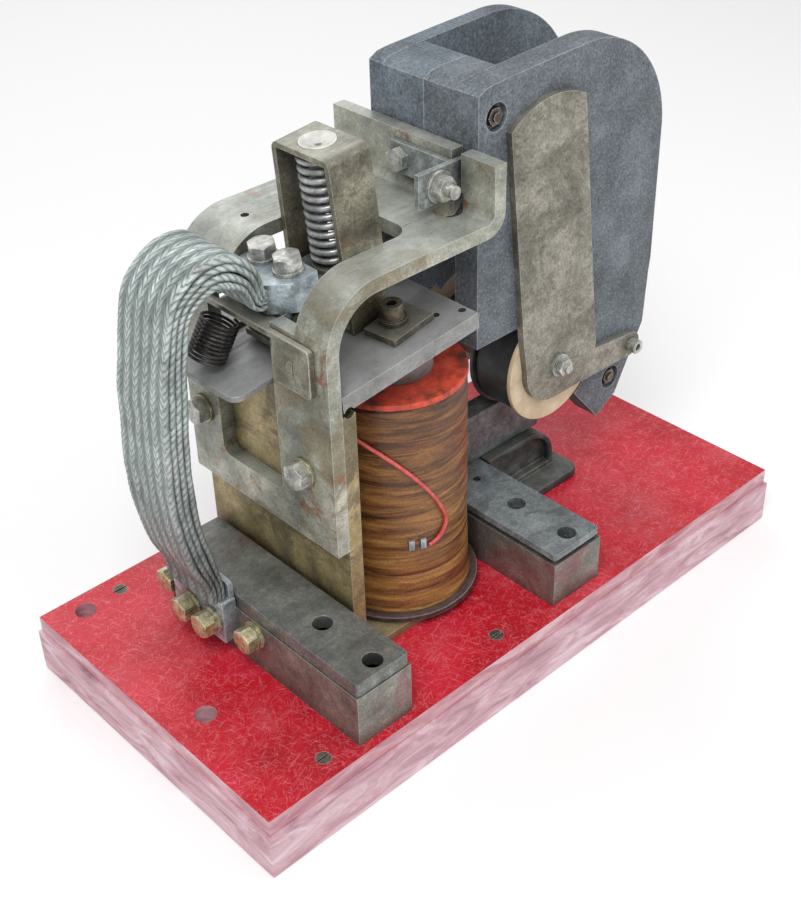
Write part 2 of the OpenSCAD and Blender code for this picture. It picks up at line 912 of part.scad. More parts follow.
module spring_housing() {
  color("#7E7C6C")
    at_base()
      on_armature()
        difference() {
          translate([hous_x - hous_w / 2, 0, 0])
            rotate([90, 0, 90])
              linear_extrude(hous_w)
                difference() {
                  hous_outline(0);
                  hous_outline(hous_t);
                  translate([mid_y - 5, arm_top - 1])
                    square([10, 8]);
                }
          rod_z(hous_top - 10, hous_top + e, hous_x, hous_y, 11 + seat);
          for (y = [-12, 12])
            rod_z(arm_top - e, arm_top + hous_t + e, hous_x, mid_y + y, 2.5 + seat);
        }
}

module spring_boss() {
  color("#C9C8C0")
    at_base()
      on_armature()
        translate([hous_x, hous_y, hous_top])
          difference() {
            union() {
              translate([0, 0, -hous_t])
                cylinder(r = 11, h = hous_t + 0.4);
              translate([0, 0, -hous_t - 7])
                cylinder(r = 7, h = 8);
            }
            translate([0, 0, -2.4])
              cylinder(r1 = 1.8, r2 = 9.6, h = 2.9);
            translate([0, 0, -9])
              cylinder(r = 1.8, h = 8);
          }
}

module housing_screws() {
  color("#5A5A5A")
    at_base()
      on_armature()
        for (y = [-12, 12])
          translate([hous_x, mid_y + y, arm_top + hous_t])
            difference() {
              union() {
                cylinder(r = 4.4, h = 3.6);
                translate([0, 0, -hous_t - 7])
                  cylinder(r = 2.5, h = hous_t + 8);
              }
              box(-5, 5, -0.6, 0.6, 2.2, 5);
            }
}

// Middle line of the braid as X, Y and Z, with its width and pitch there.
braid_route = [[112.9, 127.5, pivot_z + 55.1, braid_w - 24, 2.8],
  [108.6, 127.5, pivot_z + 55.8, braid_w - 20, 2.8],
  [105.4, 127.6, pivot_z + 58.7, braid_w - 14, 2.9], [103.2, 128, pivot_z + 64.3, braid_w - 8, 3.1],
  [98.5, 128.5, pivot_z + 74.4, braid_w - 1, 3.9], [89, 130, pivot_z + 81.8, braid_w, 4.9],
  [78, 132, pivot_z + 82.4, braid_w, 4.8], [68, 134.5, pivot_z + 76.1, braid_w, 4.6],
  [59.5, 137, pivot_z + 64, braid_w, 4], [54.6, 139, 266, braid_w, 3.7],
  [51.8, 140.5, 238, braid_w, 4.3], [49.4, 141, 210, braid_w, 4.1],
  [48.9, 142, 180, braid_w, 4.2], [51.5, 143, 150, braid_w, 4.2],
  [57.4, 144, 124, braid_w, 4], [62.6, 145, 108, braid_w, 3.1],
  [65, 145, 98, braid_w, 2.8], [65, 145, low_lug_z + 32.3, braid_w, 2.8]];

function place(q) = [q[0], q[1], q[2]];
function strip_ring(q, t, k, th) = let (c = place(q), w = q[3], off = k * q[4],
  n = unit([-t[2], 0, t[0]]))
  [for (q = [[-w / 2, -th / 2 + 0.4], [-w / 2 + 1, -th / 2], [w / 2 - 1, -th / 2],
    [w / 2, -th / 2 + 0.4], [w / 2, th / 2 - 0.4], [w / 2 - 1, th / 2], [-w / 2 + 1, th / 2],
    [-w / 2, th / 2 - 0.4]]) c + [0, q[0], 0] + (off + q[1]) * n];

module strip(path, k, th) {
  m = len(path);
  n = 8;
  rings = [for (i = [0:m - 1])
    strip_ring(path[i], path[min(i + 1, m - 1)] - path[max(i - 1, 0)], k, th)];
  pts = [for (g = rings, q = g) q];
  sides = [for (i = [0:m - 2], k = [0:n - 1], h = [0, 1])
    h == 0 ? [i * n + k, (i + 1) * n + k, i * n + (k + 1) % n]
           : [i * n + (k + 1) % n, (i + 1) * n + k, (i + 1) * n + (k + 1) % n]];
  caps = [for (k = [1:n - 2], h = [0, 1])
    h == 0 ? [0, k, k + 1] : [(m - 1) * n, (m - 1) * n + k + 1, (m - 1) * n + k]];
  polyhedron(points = pts, faces = concat(sides, caps));
}

module braid() {
  color("#8E9A90")
    at_base()
      for (i = [0:braid_layers - 1])
        strip(smooth(braid_route, 4), i - (braid_layers - 1) / 2, layer_t);
}

module lug_outline(x1) {
  polygon([[lug_x0 + lug_cut, mid_y - lug_w / 2], [x1, mid_y - lug_w / 2],
    [x1, mid_y + lug_w / 2], [lug_x0 + lug_cut, mid_y + lug_w / 2],
    [lug_x0, mid_y + lug_w / 2 - lug_cut], [lug_x0, mid_y - lug_w / 2 + lug_cut]]);
}

module upper_lug() {
  color("#A9AFAB")
    at_base()
      on_armature()
        difference() {
          union() {
            translate([0, 0, bar_top])
              linear_extrude(lug_plate)
                lug_outline(lug_x1);
            translate([0, 0, bar_top])
              linear_extrude(lug_t)
                lug_outline(lug_x1 - 1.5);
          }
          for (y = [-11, 11])
            rod_z(bar_top - e, bar_top + lug_t + e, lug_bolt_x, mid_y + y, bolt_d / 2 + seat);
        }
}

module lower_lug() {
  color("#A2A8A4")
    at_base()
      difference() {
        union() {
          translate([front_x - low_lug_t, 0, 0])
            rotate([90, 0, 90])
              linear_extrude(low_lug_t)
                rounded(low_lug_y0, low_lug_y1, low_lug_z, low_lug_z + 32, 2);
          box(front_x - 3.6, front_x, low_lug_y0 + 1, low_lug_y1 - 1, low_lug_z + 20, low_lug_z + 30);
          translate([front_x - 3.6, 0, 0])
            rotate([90, 0, 90])
              linear_extrude(3.6)
                rounded(low_lug_y0 + 1, low_lug_y1 - 1, low_lug_z + 20, low_lug_z + 44, 3);
        }
        for (i = [1, 2])
          rod_x(front_x - low_lug_t - e, front_x + e, side_bolt_y[i], side_bolt_z, bolt_d / 2 + seat);
      }
}

module lug_bolts() {
  color("#B4B2A8")
    at_base()
      on_armature()
        for (y = [-11, 11])
          translate([lug_bolt_x, mid_y + y, bar_top + lug_t + 2.4])
            hex_bolt(bolt_d, bolt_af, head_h, lug_t + 2.4 + 4);
}

module lug_washers() {
  color("#B0AEA2")
    at_base()
      on_armature()
        for (y = [-11, 11])
          translate([lug_bolt_x, mid_y + y, bar_top + lug_t])
            washer(wash_r + 0.4, bolt_d, 2.4);
}

module moving_tip() {
  color("#B06A42")
    at_base()
      on_armature()
        difference() {
          union() {
            rod_y(mid_y - 15, mid_y + 15, tip_x, tip_z, tip_r);
            box(tip_x - 26, tip_x, mid_y - 15, mid_y + 15, tip_z - 6, tip_z);
          }
          box(tip_x - 40, tip_x + 40, 0, base_w, tip_z, tip_z + 40);
        }
}

module fixed_tip() {
  color("#B06A42")
    at_base()
      difference() {
        rod_y(mid_y - 15, mid_y + 15, fixed_x, fixed_top - tip_r, tip_r);
        box(fixed_x - 40, fixed_x + 40, 0, base_w, 0, fixed_top - tip_r);
      }
}

module fixed_post() {
  color("#8E6A50")
    at_base()
      difference() {
        slab_y(bar_y0, bar_y1)
          polygon([[fixed_x - 18, bar_z1], [fixed_x + 20, bar_z1], [fixed_x + 20, 188],
            [fixed_x + 12, 204], [fixed_x + 12, fixed_top - tip_r],
            [fixed_x - 12, fixed_top - tip_r], [fixed_x - 12, 204], [fixed_x - 18, 188]]);
        rod_y(0, base_w, core_x, core_z, blow_core_r + seat);
      }
}

module fixed_bar() {
  color("#6E7270")
    at_base()
      box(252, 348, bar_y0, bar_y1, bar_z0, bar_z1);
}

cast_x0 = rear_x + rear_w + 1;
cast_x1 = 357;
cast_r = 25;
cast_y0 = 112;
cast_y1 = 144;

module support_casting() {
  color("#4E5552")
    at_base()
      difference() {
        union() {
          slab_y(cast_y0, cast_y1) {
            translate([cast_x0, top_z])
              square([cast_x1 - cast_r - cast_x0, bar_z0 - top_z]);
            translate([cast_x1 - cast_r - e, top_z])
              square([cast_r + e, bar_z0 - top_z - cast_r]);
            translate([cast_x1 - cast_r, bar_z0 - cast_r])
              intersection() {
                circle(cast_r);
                translate([-cast_r, top_z - bar_z0 + cast_r])
                  square(2 * cast_r);
              }
          }
          translate([0, 0, top_z])
            linear_extrude(7)
              rounded(cast_x0, 368, 95, 161, 9);
        }
        for (y = [cast_y0 - e, cast_y1 - 6])
          slab_y(y, y + 6 + e)
            difference() {
              union() {
                translate([cast_x0 + 4, top_z + 10])
                  square([cast_x1 - cast_r - cast_x0 - 4, bar_z0 - top_z - 14]);
                translate([cast_x1 - cast_r - e, top_z + 10])
                  square([cast_r - 4, bar_z0 - top_z - 10 - cast_r]);
                translate([cast_x1 - cast_r, bar_z0 - cast_r])
                  circle(cast_r - 4);
              }
              translate([cast_x0, top_z - 20])
                square([80, 30]);
            }
      }
}

module disc_y(y0, y1, r, hole) {
  difference() {
    rod_y(y0, y1, core_x, core_z, r);
    rod_y(y0 - e, y1 + e, core_x, core_z, hole);
  }
}

module blowout_coil() {
  color("#26262A")
    at_base()
      disc_y(chute_y0 + 3, bar_y0 - 3, blow_r, blow_core_r + seat);
}

module blowout_flange() {
  color("#1E1E20")
    at_base()
      disc_y(bar_y0 - 3, bar_y0, fibre_r + 0.5, blow_core_r + seat);
}

module blowout_core() {
  color("#70706E")
    at_base()
      difference() {
        rod_y(chute_y0, chute_y1, core_x, core_z, blow_core_r);
        rod_y(chute_y0 - e, chute_y0 + 14, core_x, core_z, 4 + seat);
        rod_y(chute_y1 - 14, chute_y1 + e, core_x, core_z, 4 + seat);
      }
}

module core_spacer() {
  color("#5A4636")
    at_base()
      disc_y(bar_y1, chute_y1 - 3, 20, blow_core_r + seat);
}

module fibre_washers() {
  color("#D9B98C")
    at_base() {
      disc_y(chute_y0, chute_y0 + 3, fibre_r, blow_core_r + seat);
      disc_y(chute_y1 - 3, chute_y1, fibre_r, blow_core_r + seat);
    }
}

arm_end = [395, 147.8];

module pole_outline() {
  intersection() {
    polygon([[269.9, chute_top + 20], [269.9, chute_top - 26.4], [285.6, 192.4], [289.4, 170],
      [316.5, core_z], [357.5, 160.5], [353.6, 193], [334, chute_top - 21.2],
      [334, chute_top + 20]]);
    union() {
      translate([306.6, chute_top - 71.7])
        circle(57.6);
      polygon([[240, 240], [370, 240], [370, 100], [240, 100]]);
      polygon([[240, chute_top - 60], [370, chute_top - 60], [370, 239], [240, 239]]);
    }
  }
  translate([316.5, 167.5])
    circle(27);
  polygon([[316.5, 140.5], [343, 140.4], [arm_end[0] - 1, arm_end[1] - 8.9],
    [arm_end[0] - 1, arm_end[1] + 8.9], [357.5, 160.5], [345, 175], [316.5, 180]]);
  translate(arm_end)
    circle(9);
}

module pole_plates() {
  color("#7C7A70")
    at_base()
      for (y = [chute_y0 - pole_t, chute_y1])
        difference() {
          slab_y(y, y + pole_t)
            pole_outline();
          rod_y(y - e, y + pole_t + e, core_x, core_z, 4 + seat);
          rod_y(y - e, y + pole_t + e, arm_end[0], arm_end[1], 2.5 + seat);
        }
}

module both_sides() {
  children();
  translate([0, chute_y0 + chute_y1, 0])
    mirror([0, 1, 0])
      children();
}

module pole_bolts() {
  color("#A39C84")
    at_base()
      both_sides()
        translate([core_x, chute_y0 - pole_t, core_z])
          rotate([90, 0, 0])
            union() {
              cylinder(r = 7.8, h = 1.8);
              translate([0, 0, 1.8])
                hex_bolt(8, 11, 5, pole_t + 1.8 + 12);
              cylinder(r = 3, h = 9.5);
            }
}

module arm_screws() {
  color("#4C4A46")
    at_base()
      both_sides()
        translate([arm_end[0], chute_y0 - pole_t, arm_end[1]])
          rotate([90, 0, 0])
            difference() {
              union() {
                cylinder(r = 5, h = 7);
                translate([0, 0, -pole_t - 8])
                  cylinder(r = 2.5, h = pole_t + 9);
              }
              translate([0, 0, 4])
                cylinder(r = 2.6, h = 4, $fn = 6);
            }
}

// Side outline of the chute halves, without the coil cut-out.
module cheek_outline() {
  intersection() {
    translate([chute_x, 204])
      square([168.4, chute_top + 7 - 204]);
    union() {
      translate([chute_x + 168.4 - chute_r, chute_top + 6.8 - chute_r])
        circle(chute_r);
      polygon([[chute_x, 200], [chute_x + 168.4, 200], [chute_x + 168.4, chute_top + 6.8 - chute_r],
        [chute_x + 168.4 - chute_r, chute_top + 6.8], [301, chute_top + 5.2],
        [261, chute_top + 3.2], [254, chute_top + 2.2], [chute_x, chute_top - 1]]);
    }
  }
  polygon([[289, 205], [chute_x + 168.4, 205], [chute_x + 167.3, 196], [414, 172.7],
    [413, 157], [387.6, 109.3], [368.5, 98.5], [344.5, 127]]);
}

module chute_side(y0, y1) {
  difference() {
    slab_y(y0, y1)
      cheek_outline();
    rod_y(0, base_w, core_x, core_z, cut_r);
    rod_y(0, base_w, top_bolt[0], top_bolt[1], 3 + seat);
    rod_y(0, base_w, foot_bolt[0], foot_bolt[1], 3 + seat);
  }
}

module chute_block(y0, y1) {
  difference() {
    union() {
      slab_y(y0, y1)
        polygon([[chute_x, chute_top - block_h], [chute_x + block_d, chute_top - block_h],
          [chute_x + block_d, chute_top + 3], [261, chute_top + 2.8], [254, chute_top + 1.6],
          [chute_x, chute_top - 1.4]]);
      rod_y(y0, y1, foot_bolt[0], foot_bolt[1], 9);
    }
    rod_y(0, base_w, top_bolt[0], top_bolt[1], 3 + seat);
    rod_y(0, base_w, foot_bolt[0], foot_bolt[1], 3 + seat);
  }
}

module chute_recess(y0, y1) {
  for (p = [top_bolt, foot_bolt])
    rod_y(y0, y1, p[0], p[1], 8.5);
}

module chute_near_half() {
  color("#6C7986")
    at_base()
      difference() {
        union() {
          chute_side(chute_y0, chute_y0 + cheek_t);
          chute_block(chute_y0 + cheek_t - e, joint_y);
        }
        chute_recess(chute_y0 - e, chute_y0 + 5);
        rod_y(chute_y0 - e, chute_y0 + 10, arm_end[0], arm_end[1], 2.5 + seat);
      }
}

module chute_far_half() {
  color("#5E6C79")
    at_base()
      difference() {
        union() {
          chute_side(chute_y1 - far_cheek_t, chute_y1);
          chute_block(joint_y, chute_y1 - far_cheek_t + e);
        }
        chute_recess(chute_y1 - 5, chute_y1 + e);
        rod_y(chute_y1 - 10, chute_y1 + e, arm_end[0], arm_end[1], 2.5 + seat);
      }
}

module chute_bolts() {
  color("#6A6660")
    at_base()
      for (p = [top_bolt, foot_bolt])
        translate([p[0], chute_y1 - 5, p[1]])
          rotate([-90, 0, 0])
            hex_bolt(6, 10, 4, chute_w - 10 + 6);
}

module chute_nuts() {
  color("#6A6660")
    at_base()
      for (p = [top_bolt, foot_bolt])
        translate([p[0], chute_y0 + 5, p[1]])
          rotate([90, 0, 0])
            difference() {
              cylinder(r = 5.8, h = 4.4, $fn = 6);
              translate([0, 0, -e])
                cylinder(r = 3 + seat, h = 5);
            }
}

stop_t = 3.5;
stop_y = 133;
stop_z = brk_z1 + 17.8;

module stop_angle() {
  color("#9D9C8A")
    at_base()
      difference() {
        union() {
          box(flange_x - stop_t, flange_x, 90, 142, stop_z - 9.5, stop_z + 9.5);
          box(207, flange_x + 9, 90, 90 + stop_t, stop_z - 10.5, stop_z + 10.5);
        }
        rod_x(flange_x - stop_t - e, flange_x + e, stop_y, stop_z, 4 + seat);
        rod_y(89, 95, 222, stop_z, 4 + seat);
      }
}

module stop_bolt() {
  color("#8F8A78")
    at_base()
      translate([flange_x - stop_t, stop_y, stop_z])
        rotate([0, -90, 0])
          hex_bolt(8, 13, 5.5, stop_t + brk_t);
}

module stop_stud() {
  color("#C6C2B2")
    at_base()
      translate([222, 90, stop_z])
        rotate([90, 0, 0]) {
          cylinder(r = 9.5, h = 2);
          translate([0, 0, 1.9])
            hex_bolt(8, 13, 6.5, 8);
          cylinder(r = 4, h = 14);
        }
}

base_lower_board();
base_top_sheet();
wood_screws();
under_screws();
front_terminal_block();
front_terminal_plate();
rear_terminal_block();
rear_terminal_plate();
side_bolts();
side_washers();
yoke();
coil_core();
coil_winding();
coil_flange();
coil_top_washer();
coil_tabs();
coil_lead();
pivot_rod();
armature_plate();
tail_plate();
clamp_plate();
clamp_bolt();
bracket();
leg_bolts();
strap();
strap_screw();
kickout_spring();
contact_arm();
pivot_bracket();
arm_pin();
contact_spring();
spring_seat();
spring_housing();
spring_boss();
housing_screws();
braid();
upper_lug();
lower_lug();
lug_bolts();
lug_washers();
moving_tip();
fixed_tip();
fixed_post();
fixed_bar();
support_casting();
blowout_coil();
blowout_flange();
blowout_core();
core_spacer();
fibre_washers();
pole_plates();
pole_bolts();
chute_near_half();
chute_far_half();
chute_bolts();
chute_nuts();
arm_screws();
stop_angle();
stop_bolt();
stop_stud();
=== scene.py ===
import json
import math

import bmesh
import bpy
from mathutils import Matrix, Vector, noise


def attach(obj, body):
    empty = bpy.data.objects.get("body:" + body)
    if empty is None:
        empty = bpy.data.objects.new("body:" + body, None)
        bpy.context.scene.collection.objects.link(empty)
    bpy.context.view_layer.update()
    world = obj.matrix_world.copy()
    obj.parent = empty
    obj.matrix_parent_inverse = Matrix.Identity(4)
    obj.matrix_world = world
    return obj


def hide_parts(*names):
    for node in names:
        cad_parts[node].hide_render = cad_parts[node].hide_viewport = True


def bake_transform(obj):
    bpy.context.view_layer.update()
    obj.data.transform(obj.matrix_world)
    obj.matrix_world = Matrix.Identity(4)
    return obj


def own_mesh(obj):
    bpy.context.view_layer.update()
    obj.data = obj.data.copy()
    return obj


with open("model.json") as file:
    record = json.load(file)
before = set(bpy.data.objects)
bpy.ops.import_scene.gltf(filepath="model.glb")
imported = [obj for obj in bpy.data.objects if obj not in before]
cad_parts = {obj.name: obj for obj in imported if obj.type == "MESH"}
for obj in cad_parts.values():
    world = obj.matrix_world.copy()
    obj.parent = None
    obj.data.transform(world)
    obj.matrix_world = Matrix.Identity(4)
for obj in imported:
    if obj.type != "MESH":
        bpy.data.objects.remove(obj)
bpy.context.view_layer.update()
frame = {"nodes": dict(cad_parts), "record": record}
print("frame loaded")

# Places are written in mm from the near corner of the panel, as measured on the photograph.
panel = {"length": 467.5, "width": 240.0, "top": 43.5, "middle": 128.0}


def at(x, y, z):
    return Vector(((x - panel["length"] / 2) / 1000, (y - panel["width"] / 2) / 1000, z / 1000))


# The armature stands open by this angle on its pivot rod.
pivot = {"x": 124.3, "z": 227.2, "open": math.radians(5.7)}


def onArmature(x, y, z):
    c, s = math.cos(pivot["open"]), math.sin(pivot["open"])
    return at(pivot["x"] + x * c - z * s, y, pivot["z"] + x * s + z * c)


# Camera.
view = {"focal": 1419.4, "imageWidth": 801, "sensorMm": 36, "place": (-289.6, -434.8, 655.3),
        "heading": 47.71, "down": 35.12, "roll": -1.70}


def addCamera():
    data = bpy.data.cameras.new("camera")
    camera = bpy.data.objects.new("camera", data)
    bpy.context.scene.collection.objects.link(camera)
    data.sensor_fit = "HORIZONTAL"
    data.sensor_width = view["sensorMm"]
    data.lens = view["sensorMm"] * view["focal"] / view["imageWidth"]
    data.clip_start = 0.02
    data.clip_end = 60
    az, el, roll = (math.radians(view[k]) for k in ("heading", "down", "roll"))
    ahead = Vector((math.cos(el) * math.cos(az), math.cos(el) * math.sin(az), -math.sin(el)))
    right = Vector((math.sin(az), -math.cos(az), 0))
    up = right.cross(ahead)
    turnedRight = math.cos(roll) * right + math.sin(roll) * up
    turnedUp = -math.sin(roll) * right + math.cos(roll) * up
    matrix = Matrix((turnedRight, turnedUp, -ahead)).transposed().to_4x4()
    matrix.translation = at(*view["place"])
    camera.matrix_world = matrix
    bpy.context.scene.camera = camera


addCamera()
bpy.context.scene.view_settings.view_transform = "Standard"


# Small helpers.
def colour(hexText):
    parts = [int(hexText[i:i + 2], 16) / 255 for i in (1, 3, 5)]
    return tuple(p / 12.92 if p <= 0.04045 else ((p + 0.055) / 1.055) ** 2.4 for p in parts) + (1.0,)


def addNode(mat, kind, inputs=None, stops=None, **settings):
    node = mat.node_tree.nodes.new(kind)
    for name, value in settings.items():
        setattr(node, name, value)
    for key, value in (inputs or {}).items():
        if isinstance(value, bpy.types.NodeSocket):
            mat.node_tree.links.new(value, node.inputs[key])
        else:
            node.inputs[key].default_value = value
    if stops:
        ramp = node.color_ramp
        while len(ramp.elements) < len(stops):
            ramp.elements.new(0.5)
        for element, (place, tone) in zip(ramp.elements, stops):
            element.position = place
            element.color = colour(tone)
    return node


def startMaterial(name, roughness, metallic=0.0):
    mat = bpy.data.materials.new(name)
    mat.use_nodes = True
    shader = mat.node_tree.nodes["Principled BSDF"]
    shader.inputs["Roughness"].default_value = roughness
    shader.inputs["Metallic"].default_value = metallic
    where = addNode(mat, "ShaderNodeTexCoord").outputs["Object"]
    return mat, shader, where


# Finishes.
def perMm(size):
    return 1000.0 / size


def link(mat, source, shader, name):
    mat.node_tree.links.new(source, shader.inputs[name])


def edgeMask(mat, radiusMm, most):
    # Where a rounded copy of the surface turns away from the real one, an edge is near.
    facing = addNode(mat, "ShaderNodeNewGeometry").outputs["Normal"]
    rounded = addNode(mat, "ShaderNodeBevel", {"Radius": radiusMm / 1000}, samples=5).outputs[0]
    alike = addNode(mat, "ShaderNodeVectorMath", {0: rounded, 1: facing},
                    operation="DOT_PRODUCT").outputs["Value"]
    return addNode(mat, "ShaderNodeMapRange", {"Value": alike, "From Min": 0.985, "From Max": 0.86,
                   "To Min": 0.0, "To Max": most}).outputs[0]


def upwardMask(mat, tilted, level, most):
    # Faces that look up, growing from tilted ones to nearly level ones.
    facing = addNode(mat, "ShaderNodeNewGeometry").outputs["Normal"]
    upward = addNode(mat, "ShaderNodeSeparateXYZ", {0: facing}).outputs[2]
    return addNode(mat, "ShaderNodeMapRange", {"Value": upward, "From Min": tilted, "From Max": level,
                   "To Min": 0.0, "To Max": most}).outputs[0]


# What the aged metals share where a finish doesn't say otherwise; sizes in mm.
aging = {"farShare": 1.9, "rust": "#8C5230", "rustMm": 24.0, "rustMix": 0.0, "gritMm": 1.6,
         "hollowShadeMm": 12.0, "drawnMm": 40.0, "edge": "#DADCD6", "edgeMm": 0.7, "edgeMix": 0.75}


def agedMetal(name, spec):
    # Plated or plain steel after years in service: blotches, pits, painted shade in corners and hollows,
    # worn bright edges, which on the dark ring are a painted highlight.
    look = {**aging, **spec}
    mat, shader, where = startMaterial(name, look["rough"], look["metal"])
    cloud = addNode(mat, "ShaderNodeTexNoise", {"Vector": where, "Scale": perMm(look["cloudMm"]),
                    "Detail": 13.0, "Roughness": 0.76}).outputs[0]
    dark, mid, light = look["tones"]
    tone = addNode(mat, "ShaderNodeValToRGB", {"Fac": cloud},
                   stops=[(0.36, dark), (0.5, mid), (0.63, light)]).outputs[0]
    farMm = look["cloudMm"] * look["farShare"]
    far = addNode(mat, "ShaderNodeTexNoise", {"Vector": where, "Scale": perMm(farMm), "Detail": 8.0,
                  "Roughness": 0.72, "Distortion": 0.9}).outputs[0]
    share = look["stainShare"] * 0.3
    patch = addNode(mat, "ShaderNodeMapRange", {"Value": far, "From Min": 0.6 - share,
                    "From Max": 0.66 - share, "To Min": 0.0, "To Max": look["stainMix"]}).outputs[0]
    stained = addNode(mat, "ShaderNodeMix", {0: patch, 6: tone, 7: colour(look["stain"])},
                      data_type="RGBA").outputs[2]
    spots = addNode(mat, "ShaderNodeTexNoise", {"Vector": where, "Scale": perMm(look["rustMm"]),
                    "Detail": 8.0, "Roughness": 0.7}).outputs[0]
    rusty = addNode(mat, "ShaderNodeMapRange", {"Value": spots, "From Min": 0.585, "From Max": 0.65,
                    "To Min": 0.0, "To Max": look["rustMix"]}).outputs[0]
    rusted = addNode(mat, "ShaderNodeMix", {0: rusty, 6: stained, 7: colour(look["rust"])},
                     data_type="RGBA").outputs[2]
    grit = addNode(mat, "ShaderNodeTexNoise", {"Vector": where, "Scale": perMm(look["gritMm"]),
                   "Detail": 5.0, "Roughness": 0.75}).outputs[0]
    speck = addNode(mat, "ShaderNodeMapRange", {"Value": grit, "From Min": 0.34, "From Max": 0.66,
                    "To Min": 1 - look["speck"] * 2, "To Max": 1 + look["speck"] * 2}).outputs[0]
    mottled = addNode(mat, "ShaderNodeMix", {0: 1.0, 6: rusted, 7: speck}, data_type="RGBA",
                      blend_type="MULTIPLY").outputs[2]
    onTop = upwardMask(mat, 0.5, 0.95, look["dustMix"])
    settled = addNode(mat, "ShaderNodeMath", {0: onTop, 1: cloud}, operation="MULTIPLY").outputs[0]
    dusty = addNode(mat, "ShaderNodeMix", {0: settled, 6: mottled, 7: colour(look["dust"])},
                    data_type="RGBA").outputs[2]
    # Painted shade: ambient occlusion darkens the colour in corners and hollows.
    occlusionShade = addNode(mat, "ShaderNodeAmbientOcclusion", {"Distance": look["hollowShadeMm"] / 1000},
                     samples=5).outputs["AO"]
    paintedHollowShade = addNode(mat, "ShaderNodeMapRange", {"Value": occlusionShade, "From Min": 0.35, "From Max": 0.85,
                    "To Min": 0.42, "To Max": 1.0}).outputs[0]
    withHollowShade = addNode(mat, "ShaderNodeMix", {0: 1.0, 6: dusty, 7: paintedHollowShade}, data_type="RGBA",
                    blend_type="MULTIPLY").outputs[2]
    # Bright edge colour: real wear on most finishes, a painted highlight on the dark ring's rim.
    wornEdgeAndRimHighlight = edgeMask(mat, look["edgeMm"], 1.0)
    patchy = addNode(mat, "ShaderNodeMath", {0: wornEdgeAndRimHighlight, 1: grit}, operation="MULTIPLY").outputs[0]
    worn = addNode(mat, "ShaderNodeMapRange", {"Value": patchy, "From Min": 0.12, "From Max": 0.42,
                   "To Min": 0.0, "To Max": look["edgeMix"]}).outputs[0]
    final = addNode(mat, "ShaderNodeMix", {0: worn, 6: withHollowShade, 7: colour(look["edge"])},
                    data_type="RGBA").outputs[2]
    link(mat, final, shader, "Base Color")
    stretch = addNode(mat, "ShaderNodeMapping", {"Vector": where, "Scale": (1.0, 14.0, 14.0),
                      "Rotation": (0.3, 0.5, 0.7)}).outputs[0]
    rubbed = addNode(mat, "ShaderNodeTexNoise", {"Vector": stretch, "Scale": perMm(look["drawnMm"]),
                     "Detail": 4.0, "Roughness": 0.65}).outputs[0]
    sheen = addNode(mat, "ShaderNodeMapRange", {"Value": rubbed, "From Min": 0.35, "From Max": 0.65,
                    "To Min": max(look["rough"] - 0.14, 0.05), "To Max": look["rough"] + 0.12}).outputs[0]
    link(mat, sheen, shader, "Roughness")
    height = addNode(mat, "ShaderNodeMath", {0: grit, 1: cloud}, operation="ADD").outputs[0]
    relief = addNode(mat, "ShaderNodeBump", {"Height": height, "Distance": look["reliefMm"] / 1000,
                     "Strength": 0.6}).outputs[0]
    link(mat, relief, shader, "Normal")
    return mat


finishes = {}

# Zinc plate with olive passivation: greenish grey, gold in the thick parts, dulled by dust.
finishes["oliveZinc"] = agedMetal("olive passivated zinc", {
    "tones": ("#757970", "#9D9F92", "#C6C6B7"), "cloudMm": 40, "stain": "#7A6A48", "stainShare": 0.22,
    "stainMix": 0.6, "speck": 0.12, "dust": "#C2C8C6", "dustMix": 0.75, "rough": 0.4, "metal": 0.4,
    "reliefMm": 0.16, "edge": "#DDE2D8", "rustMix": 0.7})
# Yellow passivated zinc: straw and tan, streaked downwards where it ran.
finishes["yellowZinc"] = agedMetal("yellow passivated zinc", {
    "tones": ("#736746", "#9C8D64", "#BEAD82"), "cloudMm": 40, "stain": "#4E4A42", "stainShare": 0.3,
    "stainMix": 0.6, "speck": 0.13, "dust": "#A8A290", "dustMix": 0.4, "rough": 0.45, "metal": 0.4,
    "reliefMm": 0.14, "rustMix": 0.3})
# Mill steel with a brown oxide skin and mauve dust from the board.
finishes["oxidisedSteel"] = agedMetal("oxidised bar steel", {
    "tones": ("#555654", "#737570", "#959792"), "cloudMm": 30, "stain": "#7C5C62", "stainShare": 0.16,
    "stainMix": 0.4, "speck": 0.2, "dust": "#8C8D8A", "dustMix": 0.5, "rough": 0.45, "metal": 0.45,
    "reliefMm": 0.25, "edge": "#E0E2E0", "rustMix": 0.3, "edgeMix": 0.9})
finishes["blockSteel"] = agedMetal("bar block steel", {
    "tones": ("#64625C", "#7F7D75", "#9C9A92"), "cloudMm": 30, "stain": "#86565A", "stainShare": 0.22,
    "stainMix": 0.55, "speck": 0.18, "dust": "#96948C", "dustMix": 0.3, "rough": 0.45, "metal": 0.45,
    "reliefMm": 0.2, "edge": "#C8C8C2", "rustMix": 0.3, "edgeMix": 0.85})
finishes["rearPlate"] = agedMetal("rear plate steel", {
    "tones": ("#62686A", "#80888A", "#9EA6A8"), "cloudMm": 16, "stain": "#3E3C3A", "stainShare": 0.26,
    "stainMix": 0.5, "speck": 0.18, "dust": "#8E9698", "dustMix": 0.4, "rough": 0.6, "metal": 0.3,
    "reliefMm": 0.35, "edge": "#D4D8D8", "edgeMix": 0.9})
# Grey primer on the magnet parts, matt and dusty.
finishes["greyPrimer"] = agedMetal("grey magnet finish", {
    "tones": ("#787775", "#8E8E8D", "#A6A6A4"), "cloudMm": 40, "stain": "#5C544A", "stainShare": 0.14,
    "stainMix": 0.4, "speck": 0.09, "dust": "#BCBEC0", "dustMix": 0.9, "rough": 0.5, "metal": 0.35,
    "reliefMm": 0.1, "edge": "#E0E0DA", "rustMix": 0.2, "edgeMix": 0.85})
